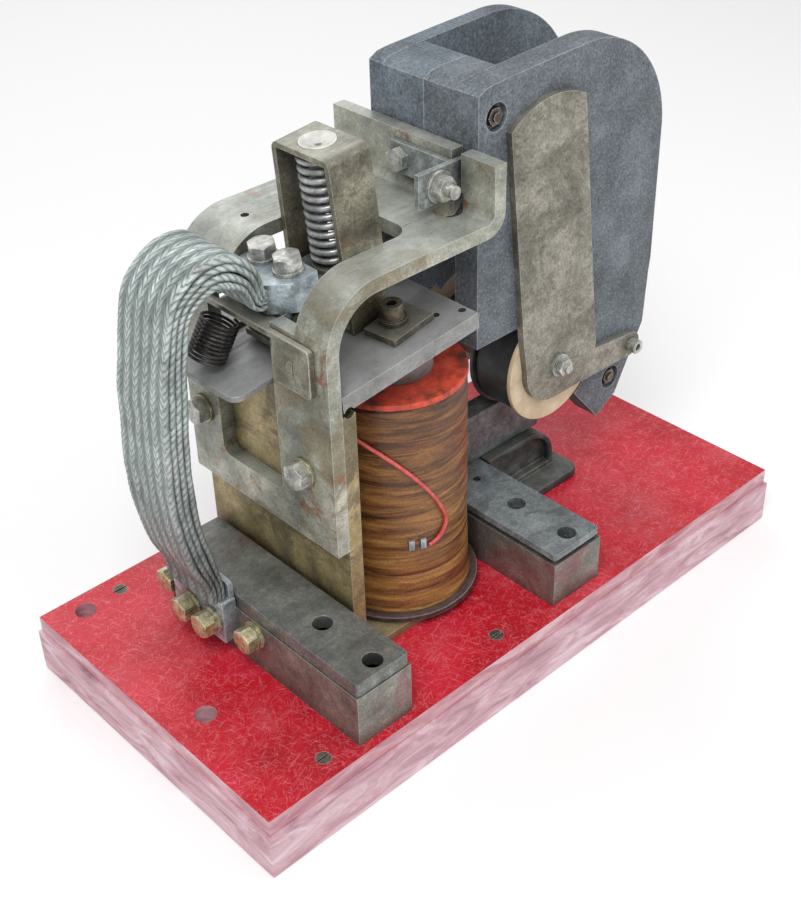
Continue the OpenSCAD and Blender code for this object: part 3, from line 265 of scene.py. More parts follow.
# Nickel-plated fasteners, bright with a warm cast.
finishes["fastener"] = agedMetal("plated fastener", {
    "tones": ("#7E7F7A", "#B2B3AC", "#E0E1DC"), "cloudMm": 7, "stain": "#6E6048", "stainShare": 0.16,
    "stainMix": 0.3, "speck": 0.09, "dust": "#D4D3CE", "dustMix": 0.5, "rough": 0.32, "metal": 0.45,
    "reliefMm": 0.08, "edge": "#F0F0EC"})
finishes["goldFastener"] = agedMetal("gold passivated fastener", {
    "tones": ("#8A8052", "#BEB48C", "#E8E2C8"), "cloudMm": 6, "stain": "#6A5A34", "stainShare": 0.18,
    "stainMix": 0.5, "speck": 0.09, "dust": "#DAD4BA", "dustMix": 0.4, "rough": 0.34, "metal": 0.6,
    "reliefMm": 0.08, "edge": "#F4F0DC"})
finishes["darkFastener"] = agedMetal("oily fastener", {
    "tones": ("#4A4036", "#66594A", "#8A7D6C"), "cloudMm": 8, "stain": "#39302A", "stainShare": 0.3,
    "stainMix": 0.5, "speck": 0.1, "dust": "#8F897E", "dustMix": 0.3, "rough": 0.45, "metal": 0.5,
    "reliefMm": 0.08})
finishes["housingSteel"] = agedMetal("spring housing steel", {
    "tones": ("#57554A", "#7C7868", "#A19D8A"), "cloudMm": 22, "stain": "#5E5434", "stainShare": 0.26,
    "stainMix": 0.5, "speck": 0.2, "dust": "#AEB0A8", "dustMix": 0.8, "rough": 0.42, "metal": 0.45,
    "reliefMm": 0.14, "edge": "#D4D6CC", "rustMix": 0.3})
finishes["poleSteel"] = agedMetal("pole plate steel", {
    "tones": ("#6C6A5F", "#898679", "#A6A398"), "cloudMm": 24, "stain": "#4E4A40", "stainShare": 0.3,
    "stainMix": 0.45, "speck": 0.2, "dust": "#B0B0AA", "dustMix": 0.4, "rough": 0.5, "metal": 0.35,
    "reliefMm": 0.14, "edge": "#C8C8C0", "rustMix": 0.15})
finishes["tinnedLug"] = agedMetal("tinned copper lug", {
    "tones": ("#86949A", "#A6B2B8", "#C8D4DA"), "cloudMm": 14, "stain": "#5C6262", "stainShare": 0.2,
    "stainMix": 0.5, "speck": 0.12, "dust": "#C4CED4", "dustMix": 0.6, "rough": 0.45, "metal": 0.45,
    "reliefMm": 0.25, "edge": "#E0E6E8"})
# Bright zinc gone grey, with rubbed white edges.
finishes["greyZinc"] = agedMetal("dull grey zinc", {
    "tones": ("#6A7070", "#929998", "#BAC0BE"), "cloudMm": 12, "stain": "#5A5C58", "stainShare": 0.2,
    "stainMix": 0.5, "speck": 0.14, "dust": "#C0C6C6", "dustMix": 0.4, "rough": 0.42, "metal": 0.4,
    "reliefMm": 0.16, "edge": "#EEF0EE", "edgeMix": 0.9})
finishes["strapZinc"] = agedMetal("rubbed strap zinc", {
    "tones": ("#6A685C", "#8C8A7A", "#B0AD9C"), "cloudMm": 16, "stain": "#5C5848", "stainShare": 0.2,
    "stainMix": 0.4, "speck": 0.12, "dust": "#D0CEC4", "dustMix": 1.0, "rough": 0.42, "metal": 0.4,
    "reliefMm": 0.12, "edge": "#F6F2E8", "edgeMm": 1.3, "edgeMix": 1.0})
finishes["springBright"] = agedMetal("bright spring wire", {
    "tones": ("#86888A", "#ACAEAE", "#CED0CE"), "cloudMm": 10, "stain": "#6C665C", "stainShare": 0.2,
    "stainMix": 0.4, "speck": 0.05, "dust": "#C6C8C6", "dustMix": 0.2, "rough": 0.36, "metal": 0.5,
    "reliefMm": 0.03})
finishes["springDark"] = agedMetal("oiled spring wire", {
    "tones": ("#2C2928", "#454141", "#66605E"), "cloudMm": 9, "stain": "#5A4038", "stainShare": 0.2,
    "stainMix": 0.4, "speck": 0.08, "dust": "#77706C", "dustMix": 0.3, "rough": 0.36, "metal": 0.6,
    "reliefMm": 0.03})
finishes["copper"] = agedMetal("dull contact copper", {
    "tones": ("#5E4636", "#8A6248", "#AA7C5C"), "cloudMm": 12, "stain": "#3E3A36", "stainShare": 0.4,
    "stainMix": 0.6, "speck": 0.08, "dust": "#8E7A6A", "dustMix": 0.3, "rough": 0.42, "metal": 0.7,
    "reliefMm": 0.1})
finishes["busBar"] = agedMetal("tinned bus bar", {
    "tones": ("#525A5C", "#70797B", "#929B9D"), "cloudMm": 10, "stain": "#444644", "stainShare": 0.22,
    "stainMix": 0.5, "speck": 0.14, "dust": "#8F979A", "dustMix": 0.4, "rough": 0.5, "metal": 0.45,
    "reliefMm": 0.25})
finishes["castIron"] = agedMetal("oily cast iron", {
    "tones": ("#2C3032", "#454A4A", "#6A6E6C"), "cloudMm": 16, "stain": "#5C5A50", "stainShare": 0.3,
    "stainMix": 0.5, "speck": 0.16, "dust": "#86857E", "dustMix": 0.7, "rough": 0.6, "metal": 0.2,
    "reliefMm": 0.4})


# The board's top: crimson resin with chopped fibres in four lays (turn, width in mm, amount).
laminate = {"cloudMm": 60.0, "resin": ("#A80A1C", "#C01024", "#CE2036"), "fibre": "#F08A94",
            "lays": ((0.3, 0.9, 0.3), (1.1, 0.8, 0.3), (1.9, 1.0, 0.26), (2.6, 0.85, 0.26)),
            "hazeMm": 95.0, "haze": "#C99096", "sawn": ("#9E6670", "#C08A94", "#DAB6BC"),
            "reliefMm": 0.4}


def boardTop():
    # Glass polyester laminate: crimson resin, a net of pale chopped fibres just under the skin.
    mat, shader, where = startMaterial("red glass polyester", 0.42)
    cloud = addNode(mat, "ShaderNodeTexNoise", {"Vector": where, "Scale": perMm(laminate["cloudMm"]),
                    "Detail": 6.0, "Roughness": 0.6}).outputs[0]
    dark, mid, light = laminate["resin"]
    last = addNode(mat, "ShaderNodeValToRGB", {"Fac": cloud},
                   stops=[(0.34, dark), (0.5, mid), (0.66, light)]).outputs[0]
    for turn, size, amount in laminate["lays"]:
        lay = addNode(mat, "ShaderNodeMapping", {"Vector": where, "Rotation": (0, 0, turn),
                      "Scale": (1.0, 9.0, 1.0)}, vector_type="TEXTURE").outputs[0]
        cell = addNode(mat, "ShaderNodeTexNoise", {"Vector": lay, "Scale": perMm(size), "Detail": 2.0,
                       "Roughness": 0.5, "Distortion": 0.5}).outputs[0]
        fibre = addNode(mat, "ShaderNodeMapRange", {"Value": cell, "From Min": 0.59, "From Max": 0.68,
                        "To Min": 0.0, "To Max": amount}).outputs[0]
        last = addNode(mat, "ShaderNodeMix", {0: fibre, 6: last, 7: colour(laminate["fibre"])},
                       data_type="RGBA").outputs[2]
    haze = addNode(mat, "ShaderNodeTexNoise", {"Vector": where, "Scale": perMm(laminate["hazeMm"]),
                   "Detail": 8.0, "Roughness": 0.7}).outputs[0]
    film = addNode(mat, "ShaderNodeMapRange", {"Value": haze, "From Min": 0.54, "From Max": 0.74,
                   "To Min": 0.0, "To Max": 0.24}).outputs[0]
    dusty = addNode(mat, "ShaderNodeMix", {0: film, 6: last, 7: colour(laminate["haze"])},
                    data_type="RGBA").outputs[2]
    sawn = sawnTone(mat, where, laminate["sawn"])
    level = upwardMask(mat, 0.45, 0.75, 1.0)
    both = addNode(mat, "ShaderNodeMix", {0: level, 6: sawn, 7: dusty}, data_type="RGBA").outputs[2]
    link(mat, both, shader, "Base Color")
    gloss = addNode(mat, "ShaderNodeMapRange", {"Value": haze, "From Min": 0.35, "From Max": 0.7,
                    "To Min": 0.3, "To Max": 0.62}).outputs[0]
    link(mat, gloss, shader, "Roughness")
    relief = addNode(mat, "ShaderNodeBump", {"Height": cell, "Distance": laminate["reliefMm"] / 1000,
                     "Strength": 0.25}).outputs[0]
    link(mat, relief, shader, "Normal")
    return mat


def sawnTone(mat, where, tones):
    # Saw-cut laminate: streaks along the edge with slow waves and pale dust.
    drawn = addNode(mat, "ShaderNodeMapping", {"Vector": where, "Scale": (1.0, 1.0, 4.5)}).outputs[0]
    grain = addNode(mat, "ShaderNodeTexNoise", {"Vector": drawn, "Scale": perMm(46.0), "Detail": 10.0,
                    "Roughness": 0.7, "Distortion": 0.8}).outputs[0]
    dark, mid, light = tones
    return addNode(mat, "ShaderNodeValToRGB", {"Fac": grain},
                   stops=[(0.32, dark), (0.48, mid), (0.64, light)]).outputs[0]


def boardEdge():
    # Laminated lower board, sawn and bleached to a mauve pink.
    mat, shader, where = startMaterial("sawn mauve board", 0.75)
    link(mat, sawnTone(mat, where, ("#A07A84", "#C79FA9", "#E0C8CF")), shader, "Base Color")
    fuzz = addNode(mat, "ShaderNodeTexNoise", {"Vector": where, "Scale": perMm(1.6),
                   "Detail": 4.0}).outputs[0]
    relief = addNode(mat, "ShaderNodeBump", {"Height": fuzz, "Distance": 0.3 / 1000,
                     "Strength": 0.5}).outputs[0]
    link(mat, relief, shader, "Normal")
    return mat


moulding = {"cloudMm": 30.0, "speckMm": 1.7, "pale": "#8E989F", "black": "#343C43", "chip": "#D4DADC",
            "chipMm": 1.2, "reliefMm": 0.4}


def mouldedGrey(name, tones):
    # Cement-bound arc moulding: blue-grey with dense pale and black specks, chipped pale edges.
    mat, shader, where = startMaterial(name, 0.62)
    cloud = addNode(mat, "ShaderNodeTexNoise", {"Vector": where, "Scale": perMm(moulding["cloudMm"]),
                    "Detail": 8.0, "Roughness": 0.7}).outputs[0]
    dark, mid, light = tones
    base = addNode(mat, "ShaderNodeValToRGB", {"Fac": cloud},
                   stops=[(0.34, dark), (0.5, mid), (0.66, light)]).outputs[0]
    specks = addNode(mat, "ShaderNodeTexNoise", {"Vector": where, "Scale": perMm(moulding["speckMm"]),
                     "Detail": 5.0, "Roughness": 0.7}).outputs[0]
    pale = addNode(mat, "ShaderNodeMapRange", {"Value": specks, "From Min": 0.52, "From Max": 0.66,
                   "To Min": 0.0, "To Max": 0.6}).outputs[0]
    flecked = addNode(mat, "ShaderNodeMix", {0: pale, 6: base, 7: colour(moulding["pale"])},
                      data_type="RGBA").outputs[2]
    black = addNode(mat, "ShaderNodeMapRange", {"Value": specks, "From Min": 0.48, "From Max": 0.36,
                    "To Min": 0.0, "To Max": 0.7}).outputs[0]
    pitted = addNode(mat, "ShaderNodeMix", {0: black, 6: flecked, 7: colour(moulding["black"])},
                     data_type="RGBA").outputs[2]
    chipped = edgeMask(mat, moulding["chipMm"], 0.8)
    patchy = addNode(mat, "ShaderNodeMath", {0: chipped, 1: specks}, operation="MULTIPLY").outputs[0]
    final = addNode(mat, "ShaderNodeMix", {0: patchy, 6: pitted, 7: colour(moulding["chip"])},
                    data_type="RGBA").outputs[2]
    link(mat, final, shader, "Base Color")
    relief = addNode(mat, "ShaderNodeBump", {"Height": specks, "Distance": moulding["reliefMm"] / 1000,
                     "Strength": 0.5}).outputs[0]
    link(mat, relief, shader, "Normal")
    return mat


def plainFinish(name, tones, roughness, grainMm, reliefMm, metallic=0.0):
    # One-colour stock with a slow cloud in its colour and its surface.
    mat, shader, where = startMaterial(name, roughness, metallic)
    cloud = addNode(mat, "ShaderNodeTexNoise", {"Vector": where, "Scale": perMm(grainMm), "Detail": 6.0,
                    "Roughness": 0.6}).outputs[0]
    dark, mid, light = tones
    tone = addNode(mat, "ShaderNodeValToRGB", {"Fac": cloud},
                   stops=[(0.3, dark), (0.52, mid), (0.74, light)]).outputs[0]
    link(mat, tone, shader, "Base Color")
    relief = addNode(mat, "ShaderNodeBump", {"Height": cloud, "Distance": reliefMm / 1000,
                     "Strength": 0.5}).outputs[0]
    link(mat, relief, shader, "Normal")
    return mat


# The winding's tape: laps in mm along the winding, cloth in mm, and the heights in m over which painted
# shade darkens it upwards.
tape = {"lapMm": 62.0, "lapStretch": 11.0, "clothMm": 1.2, "foot": 0.06, "top": 0.205, "reliefMm": 0.6}


def varnishedTape():
    # Varnished cotton tape over the winding: level laps from dark brown to amber, painted shade growing
    # towards the top, glossy runs.
    mat, shader, where = startMaterial("varnished cotton tape", 0.38)
    drawn = addNode(mat, "ShaderNodeMapping", {"Vector": where, "Scale": (1.0, 1.0, tape["lapStretch"]),
                    "Rotation": (0.03, -0.02, 0.0)}).outputs[0]
    laps = addNode(mat, "ShaderNodeTexNoise", {"Vector": drawn, "Scale": perMm(tape["lapMm"]),
                   "Detail": 12.0, "Roughness": 0.72, "Distortion": 0.5}).outputs[0]
    height = addNode(mat, "ShaderNodeSeparateXYZ", {0: where}).outputs[2]
    # Painted shade: the colour darkens from the foot of the winding towards its top.
    low = addNode(mat, "ShaderNodeMapRange", {"Value": height, "From Min": tape["top"],
                  "From Max": tape["foot"], "To Min": -0.07, "To Max": 0.06}).outputs[0]
    lift = addNode(mat, "ShaderNodeMath", {0: laps, 1: low}, operation="ADD").outputs[0]
    tone = addNode(mat, "ShaderNodeValToRGB", {"Fac": lift},
                   stops=[(0.3, "#2C1A10"), (0.42, "#55351E"), (0.5, "#79502D"), (0.58, "#946838"),
                          (0.7, "#B2854C")]).outputs[0]
    cloth = addNode(mat, "ShaderNodeTexNoise", {"Vector": where, "Scale": perMm(tape["clothMm"]),
                    "Detail": 4.0}).outputs[0]
    worn = addNode(mat, "ShaderNodeMapRange", {"Value": cloth, "From Min": 0.34, "From Max": 0.66,
                   "To Min": 0.8, "To Max": 1.2}).outputs[0]
    final = addNode(mat, "ShaderNodeMix", {0: 1.0, 6: tone, 7: worn}, data_type="RGBA",
                    blend_type="MULTIPLY").outputs[2]
    link(mat, final, shader, "Base Color")
    gloss = addNode(mat, "ShaderNodeMapRange", {"Value": laps, "From Min": 0.35, "From Max": 0.65,
                    "To Min": 0.26, "To Max": 0.52}).outputs[0]
    link(mat, gloss, shader, "Roughness")
    relief = addNode(mat, "ShaderNodeBump", {"Height": lift, "Distance": tape["reliefMm"] / 1000,
                     "Strength": 0.5}).outputs[0]
    link(mat, relief, shader, "Normal")
    return mat


def redEnamel():
    # Brushed orange-red enamel on the coil washer, worn to grey in patches.
    mat, shader, where = startMaterial("orange red enamel", 0.5)
    wear = addNode(mat, "ShaderNodeTexNoise", {"Vector": where, "Scale": perMm(16.0), "Detail": 7.0,
                   "Roughness": 0.68}).outputs[0]
    tone = addNode(mat, "ShaderNodeValToRGB", {"Fac": wear},
                   stops=[(0.36, "#5B3A34"), (0.45, "#A8402C"), (0.56, "#D9503A"),
                          (0.72, "#E56A54")]).outputs[0]
    link(mat, tone, shader, "Base Color")
    relief = addNode(mat, "ShaderNodeBump", {"Height": wear, "Distance": 0.3 / 1000,
                     "Strength": 0.5}).outputs[0]
    link(mat, relief, shader, "Normal")
    return mat


# The braid's copper: glints and clouds in mm, and the heights in m between which it darkens towards the
# bottom.
woven = {"glintMm": 5.0, "cloudMm": 22.0, "darkeningLow": 0.1, "darkeningHigh": 0.22, "wireReliefMm": 0.2}


def tinnedBraid():
    # Fine tinned copper wires in flat plaits: grey green bands with a painted highlight where they ride
    # over and painted shade between them, darker towards the bottom.
    mat, shader, where = startMaterial("tinned woven copper", 0.42, 0.4)
    crestLightShade = addNode(mat, "ShaderNodeAttribute", attribute_name="plait").outputs["Fac"]
    wires = addNode(mat, "ShaderNodeUVMap", uv_map="wires").outputs[0]
    across = addNode(mat, "ShaderNodeSeparateXYZ", {0: wires}).outputs[0]
    wave = addNode(mat, "ShaderNodeMath", {0: across, 1: 2 * math.pi}, operation="MULTIPLY").outputs[0]
    rounded = addNode(mat, "ShaderNodeMath", {0: wave}, operation="SINE").outputs[0]
    glint = addNode(mat, "ShaderNodeTexNoise", {"Vector": where, "Scale": perMm(woven["glintMm"]),
                    "Detail": 6.0, "Roughness": 0.75}).outputs[0]
    lifted = addNode(mat, "ShaderNodeMapRange", {"Value": glint, "From Min": 0.3, "From Max": 0.7,
                     "To Min": -0.22, "To Max": 0.22}).outputs[0]
    height = addNode(mat, "ShaderNodeMath", {0: crestLightShade, 1: lifted}, operation="ADD").outputs[0]
    # Painted highlight on the crests of the bands and painted shade in the dips between them.
    tone = addNode(mat, "ShaderNodeValToRGB", {"Fac": height},
                   stops=[(0.06, "#5C6668"), (0.34, "#95A1A0"), (0.74, "#B4BFBD"),
                          (1.0, "#E6EDEB")]).outputs[0]
    cloud = addNode(mat, "ShaderNodeTexNoise", {"Vector": where, "Scale": perMm(woven["cloudMm"]),
                    "Detail": 5.0}).outputs[0]
    shade = addNode(mat, "ShaderNodeValToRGB", {"Fac": cloud},
                    stops=[(0.34, "#BDBEB8"), (0.5, "#E2E6E4"), (0.66, "#FFFFFF")]).outputs[0]
    clouded = addNode(mat, "ShaderNodeMix", {0: 0.7, 6: tone, 7: shade}, data_type="RGBA",
                      blend_type="MULTIPLY").outputs[2]
    fine = addNode(mat, "ShaderNodeMapRange", {"Value": rounded, "From Min": -1.0, "From Max": 1.0,
                   "To Min": 0.8, "To Max": 1.12}).outputs[0]
    wired = addNode(mat, "ShaderNodeMix", {0: 1.0, 6: clouded, 7: fine}, data_type="RGBA",
                    blend_type="MULTIPLY").outputs[2]
    level = addNode(mat, "ShaderNodeSeparateXYZ", {0: where}).outputs[2]
    # Darker towards the bottom of the braid.
    darkerTowardsBottom = addNode(mat, "ShaderNodeMapRange", {"Value": level, "From Min": woven["darkeningLow"],
                    "From Max": woven["darkeningHigh"], "To Min": 0.5, "To Max": 1.0}).outputs[0]
    final = addNode(mat, "ShaderNodeMix", {0: 1.0, 6: wired, 7: darkerTowardsBottom}, data_type="RGBA",
                    blend_type="MULTIPLY").outputs[2]
    link(mat, final, shader, "Base Color")
    relief = addNode(mat, "ShaderNodeBump", {"Height": rounded, "Distance": woven["wireReliefMm"] / 1000,
                     "Strength": 0.6}).outputs[0]
    link(mat, relief, shader, "Normal")
    return mat


finishes["boardTop"] = boardTop()
finishes["boardEdge"] = boardEdge()
finishes["chuteNear"] = mouldedGrey("grey arc moulding", ("#494F55", "#5E656B", "#757D84"))
finishes["chuteFar"] = mouldedGrey("blue grey arc moulding", ("#4B545B", "#606A73", "#76818A"))
finishes["tape"] = varnishedTape()
finishes["redWasher"] = redEnamel()
finishes["braid"] = tinnedBraid()
# Vulcanised fibre: warm tan sheet with faint mottling.
finishes["fibre"] = plainFinish("vulcanised fibre", ("#BFA98A", "#D0BC9C", "#E0CFB4"), 0.55, 14, 0.1)
# Black taped and varnished coil.
finishes["blackTape"] = plainFinish("black varnished tape", ("#181A1C", "#26292B", "#3A3D40"), 0.4, 9, 0.3)
# Dark insulating ring; its pale edge colour is a painted highlight along the rim.
finishes["darkRing"] = agedMetal("dark insulating ring", {
    "tones": ("#2A201E", "#44342F", "#5E4C46"), "cloudMm": 8, "stain": "#7A5A5E", "stainShare": 0.2,
    "stainMix": 0.5, "speck": 0.12, "dust": "#8A7476", "dustMix": 0.5, "rough": 0.6, "metal": 0.0,
    "reliefMm": 0.2, "edge": "#D2C2C4", "edgeMm": 1.2, "edgeMix": 0.9})
# Red PVC sleeve on the coil lead.
finishes["leadSleeve"] = plainFinish("red lead sleeve", ("#B53A3C", "#CC5452", "#DE7A78"), 0.35, 6, 0.05)
# Phenolic tube, brown and waxy.
finishes["insulator"] = plainFinish("brown insulating tube", ("#4A3A2C", "#5E4A38", "#766050"),
                                    0.5, 12, 0.1)
finishes["whiteBoss"] = plainFinish("pale zinc boss", ("#A9A89E", "#C9C9C2", "#DDDDD8"), 0.4, 7, 0.1, 0.3)
print("finishes made")


# Pieces.
def keepPiece(name, bm, mat, body, nodes=(), angle=35):
    # Faces are shaded smooth, and edges over the given angle stay sharp.
    data = bpy.data.meshes.new(name)
    for edge in bm.edges:
        if len(edge.link_faces) == 2 and edge.calc_face_angle(0) > math.radians(angle):
            edge.smooth = False
    for face in bm.faces:
        face.smooth = True
    bm.to_mesh(data)
    bm.free()
    piece = bpy.data.objects.new(name, data)
    bpy.context.scene.collection.objects.link(piece)
    data.materials.append(mat)
    if body:
        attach(piece, body)
    if nodes:
        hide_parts(*nodes)
    return piece


bodies = frame["record"]["behaviour"]["bodies"]
bodyOf = {node: body for body, members in bodies.items() for node in members}


housingBend = {"node": "spring_housing", "radiusMm": 5.0, "steps": 7, "slackMm": 0.3}


def bendStrip(bm):
    # The housing is one bent strip: its two top corners are rounded, as the press brake leaves them.
    along = (onArmature(1, 0, 0) - onArmature(0, 0, 0)).normalized()
    up = (onArmature(0, 0, 1) - onArmature(0, 0, 0)).normalized()
    slack = housingBend["slackMm"] / 1000
    crown = max(vert.co.dot(up) for vert in bm.verts)
    level = [vert for vert in bm.verts if crown - vert.co.dot(up) < slack]
    sides = (min(vert.co.y for vert in level), max(vert.co.y for vert in level))
    corners = []
    for edge in bm.edges:
        a, b = edge.verts
        onTop = a in level and b in level
        lengthwise = abs((b.co - a.co).normalized().dot(along)) > 0.99
        outermost = any(abs(a.co.y - side) < slack and abs(b.co.y - side) < slack for side in sides)
        if onTop and lengthwise and outermost:
            corners.append(edge)
    bmesh.ops.bevel(bm, geom=corners, offset=housingBend["radiusMm"] / 1000, offset_type="OFFSET",
                    segments=housingBend["steps"], profile=0.5, affect="EDGES", material=-1)


eased = {"mergeWithin": 2e-6, "flatWithin": 0.6, "sharpFrom": 32}  # metres, degrees, degrees


def easedCopy(node, mat, width, segments=2):
    # The CAD shape with its sharp corners broken, as a machined or moulded part has.
    bm = bmesh.new()
    bm.from_mesh(frame["nodes"][node].data)
    bmesh.ops.remove_doubles(bm, verts=bm.verts, dist=eased["mergeWithin"])
    bmesh.ops.dissolve_limit(bm, angle_limit=math.radians(eased["flatWithin"]), verts=bm.verts,
                             edges=bm.edges)
    if node == housingBend["node"]:
        bendStrip(bm)
    piece = keepPiece(node + "_eased", bm, mat, bodyOf[node], (node,))
    bevel = piece.modifiers.new("eased", "BEVEL")
    bevel.limit_method = "ANGLE"
    bevel.angle_limit = math.radians(eased["sharpFrom"])
    bevel.width = width / 1000
    bevel.segments = segments
    bevel.harden_normals = True
    bevel.use_clamp_overlap = True


easedPieces = {  # node: finish, broken edge in mm, steps across it
    "base_lower_board": ("boardEdge", 0.6, 2), "base_top_sheet": ("boardTop", 0.5, 2),
    "front_terminal_block": ("blockSteel", 0.6, 2), "front_terminal_plate": ("oxidisedSteel", 1.6, 3),
    "rear_terminal_block": ("blockSteel", 0.6, 2), "rear_terminal_plate": ("rearPlate", 1.4, 3),
    "side_washers": ("goldFastener", 0.25, 1), "side_bolts": ("goldFastener", 0.25, 2),
    "yoke": ("yellowZinc", 0.8, 2), "coil_core": ("greyPrimer", 0.6, 2),
    "coil_flange": ("darkRing", 0.5, 2), "coil_top_washer": ("redWasher", 0.8, 2),
    "pivot_rod": ("fastener", 0.3, 1), "armature_plate": ("greyPrimer", 1.0, 3),
    "tail_plate": ("greyPrimer", 0.7, 2), "clamp_plate": ("housingSteel", 0.6, 2),
    "clamp_bolt": ("darkFastener", 0.4, 2), "bracket": ("oliveZinc", 1.3, 3),
    "leg_bolts": ("fastener", 0.25, 2),
    "strap": ("strapZinc", 0.5, 2), "strap_screw": ("oliveZinc", 0.2, 1),
    "contact_arm": ("busBar", 0.8, 2), "pivot_bracket": ("housingSteel", 0.6, 2),
    "arm_pin": ("fastener", 0.4, 2), "spring_seat": ("housingSteel", 0.4, 2),
    "spring_housing": ("housingSteel", 0.6, 2), "spring_boss": ("whiteBoss", 0.4, 2),
    "housing_screws": ("darkFastener", 0.2, 1), "upper_lug": ("tinnedLug", 1.2, 3),
    "lower_lug": ("tinnedLug", 1.0, 3), "lug_bolts": ("fastener", 0.25, 2),
    "lug_washers": ("fastener", 0.25, 1), "moving_tip": ("copper", 0.5, 2),
    "fixed_tip": ("copper", 0.5, 2), "fixed_post": ("copper", 0.8, 2), "fixed_bar": ("busBar", 0.8, 2),
    "support_casting": ("castIron", 1.4, 3), "blowout_coil": ("blackTape", 1.5, 3),
    "blowout_flange": ("blackTape", 0.5, 2), "blowout_core": ("greyPrimer", 0.5, 1),
    "core_spacer": ("insulator", 0.5, 1), "fibre_washers": ("fibre", 0.4, 2),
    "pole_plates": ("poleSteel", 0.6, 2), "pole_bolts": ("fastener", 0.25, 2),
    "chute_near_half": ("chuteNear", 1.6, 3), "chute_far_half": ("chuteFar", 1.6, 3),
    "chute_bolts": ("darkFastener", 0.2, 1), "chute_nuts": ("darkFastener", 0.2, 1),
    "arm_screws": ("fastener", 0.3, 1), "stop_angle": ("greyZinc", 0.4, 2),
    "stop_bolt": ("fastener", 0.25, 2), "stop_stud": ("fastener", 0.25, 2),
    "wood_screws": ("darkFastener", 0.15, 1), "under_screws": ("darkFastener", 0.3, 1),
    "coil_tabs": ("tinnedLug", 0.2, 1),
}
for node, (finish, width, steps) in easedPieces.items():
    easedCopy(node, finishes[finish], width, steps)
print("eased pieces made")


# Springs.
def tubeAlong(name, points, radius, mat, body, nodes, sides=12):
    # A ring is extruded from point to point without twisting, and both ends are closed.
    bm = bmesh.new()
    ring = bmesh.ops.create_circle(bm, segments=sides, radius=radius)["verts"]
    bmesh.ops.translate(bm, verts=ring, vec=points[0])
    ahead = (points[1] - points[0]).normalized()
    turn = Vector((0, 0, 1)).rotation_difference(ahead).to_matrix()
    bmesh.ops.rotate(bm, verts=ring, cent=points[0], matrix=turn)
    edges = list({edge for vert in ring for edge in vert.link_edges})
    bmesh.ops.contextual_create(bm, geom=edges)
    for i in range(1, len(points)):
        step = bmesh.ops.extrude_edge_only(bm, edges=edges)["geom"]
        ring = [g for g in step if isinstance(g, bmesh.types.BMVert)]
        edges = [g for g in step if isinstance(g, bmesh.types.BMEdge)]
        onward = (points[min(i + 1, len(points) - 1)] - points[i - 1]).normalized()
        bmesh.ops.translate(bm, verts=ring, vec=points[i] - points[i - 1])
        bend = ahead.rotation_difference(onward).to_matrix()
        bmesh.ops.rotate(bm, verts=ring, cent=points[i], matrix=bend)
        ahead = onward
    bmesh.ops.contextual_create(bm, geom=edges)
    bmesh.ops.recalc_face_normals(bm, faces=bm.faces)
    return keepPiece(name, bm, mat, body, nodes, angle=60)


contactSpring = {"x": 55.5, "y": 127.0, "low": 46.0, "high": 117.0, "radius": 11.7, "wire": 3.8,
                 "turns": 12}
kickoutSpring = {"low": (91.0, 145.4, 239.2), "high": (102.5, 141.2, 263.8), "radius": 10.9,
                 "wire": 1.9, "turns": 10}
stepsPerTurn = 28


def springPath(low, high, radius, wire, turns):
    # The middle line of the wire, evenly pitched from one seat to the other.
    axis = high - low
    length = axis.length
    turnTo = Vector((0, 0, 1)).rotation_difference(axis.normalized()).to_matrix()
    steps = int(turns * stepsPerTurn)
    points = []
    for i in range(steps + 1):
        t = i / steps
        a = 2 * math.pi * turns * t
        z = wire / 2 + (length - wire) * t
        points.append(low + turnTo @ Vector((radius * math.cos(a), radius * math.sin(a), z)))
    return points


def makeSpring(name, spec, low, high, finish, body, node):
    path = springPath(low, high, spec["radius"] / 1000, spec["wire"] / 1000, spec["turns"])
    return tubeAlong(name, path, spec["wire"] / 2000, finishes[finish], body, (node,))


def makeSprings():
    # Each spring is wound from its lower seat to its upper seat.
    spec = contactSpring
    low, high = (onArmature(spec["x"], spec["y"], spec[end]) for end in ("low", "high"))
    piece = makeSpring("contactSpringCoil", spec, low, high, "springBright", "armature", "contact_spring")
    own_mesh(piece)
    spec = kickoutSpring
    low, high = at(*spec["low"]), at(*spec["high"])
    piece = makeSpring("kickoutSpringCoil", spec, low, high, "springDark", "base", "kickout_spring")
    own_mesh(piece)


makeSprings()
print("springs made")


# Coil.
winding = {"x": 194.0, "y": 103.0, "low": 54.0, "high": 206.0, "radius": 46.0, "hole": 20.1,
           "rings": 190, "steps": 240, "tapePitch": 13.0, "tapeStep": 0.35, "lapRise": 0.12,
           "lapEdge": 0.03, "lapWidth": 0.05,
           "waveMm": 0.35, "waveRound": 2.2, "waveTall": 17, "softMm": 0.9, "softOver": 1.2,
           "swellMm": 2.2, "swellOver": 14, "insetMm": 0.25}


def tapeRelief(z, turn):
    # How far the tape stands out: its overlapped edge, hand-wrapped waves, soft ends and a swollen foot.
    spec = winding
    lap = ((z / spec["tapePitch"]) + turn) % 1.0
    edge = -spec["tapeStep"] * math.exp(-((lap - spec["lapEdge"]) / spec["lapWidth"]) ** 2)
    edge += spec["lapRise"] * lap
    angle = 2 * math.pi * turn
    roundX, roundY = math.cos(angle) * spec["waveRound"], math.sin(angle) * spec["waveRound"]
    wave = spec["waveMm"] * noise.noise(Vector((roundX, roundY, z / spec["waveTall"])))
    near = min(z - spec["low"], spec["high"] - z)
    soft = -spec["softMm"] * math.exp(-max(near, 0) / spec["softOver"])
    swell = spec["swellMm"] * math.exp(-max(z - spec["low"], 0) / spec["swellOver"])
    return edge + wave + soft + swell - spec["insetMm"]


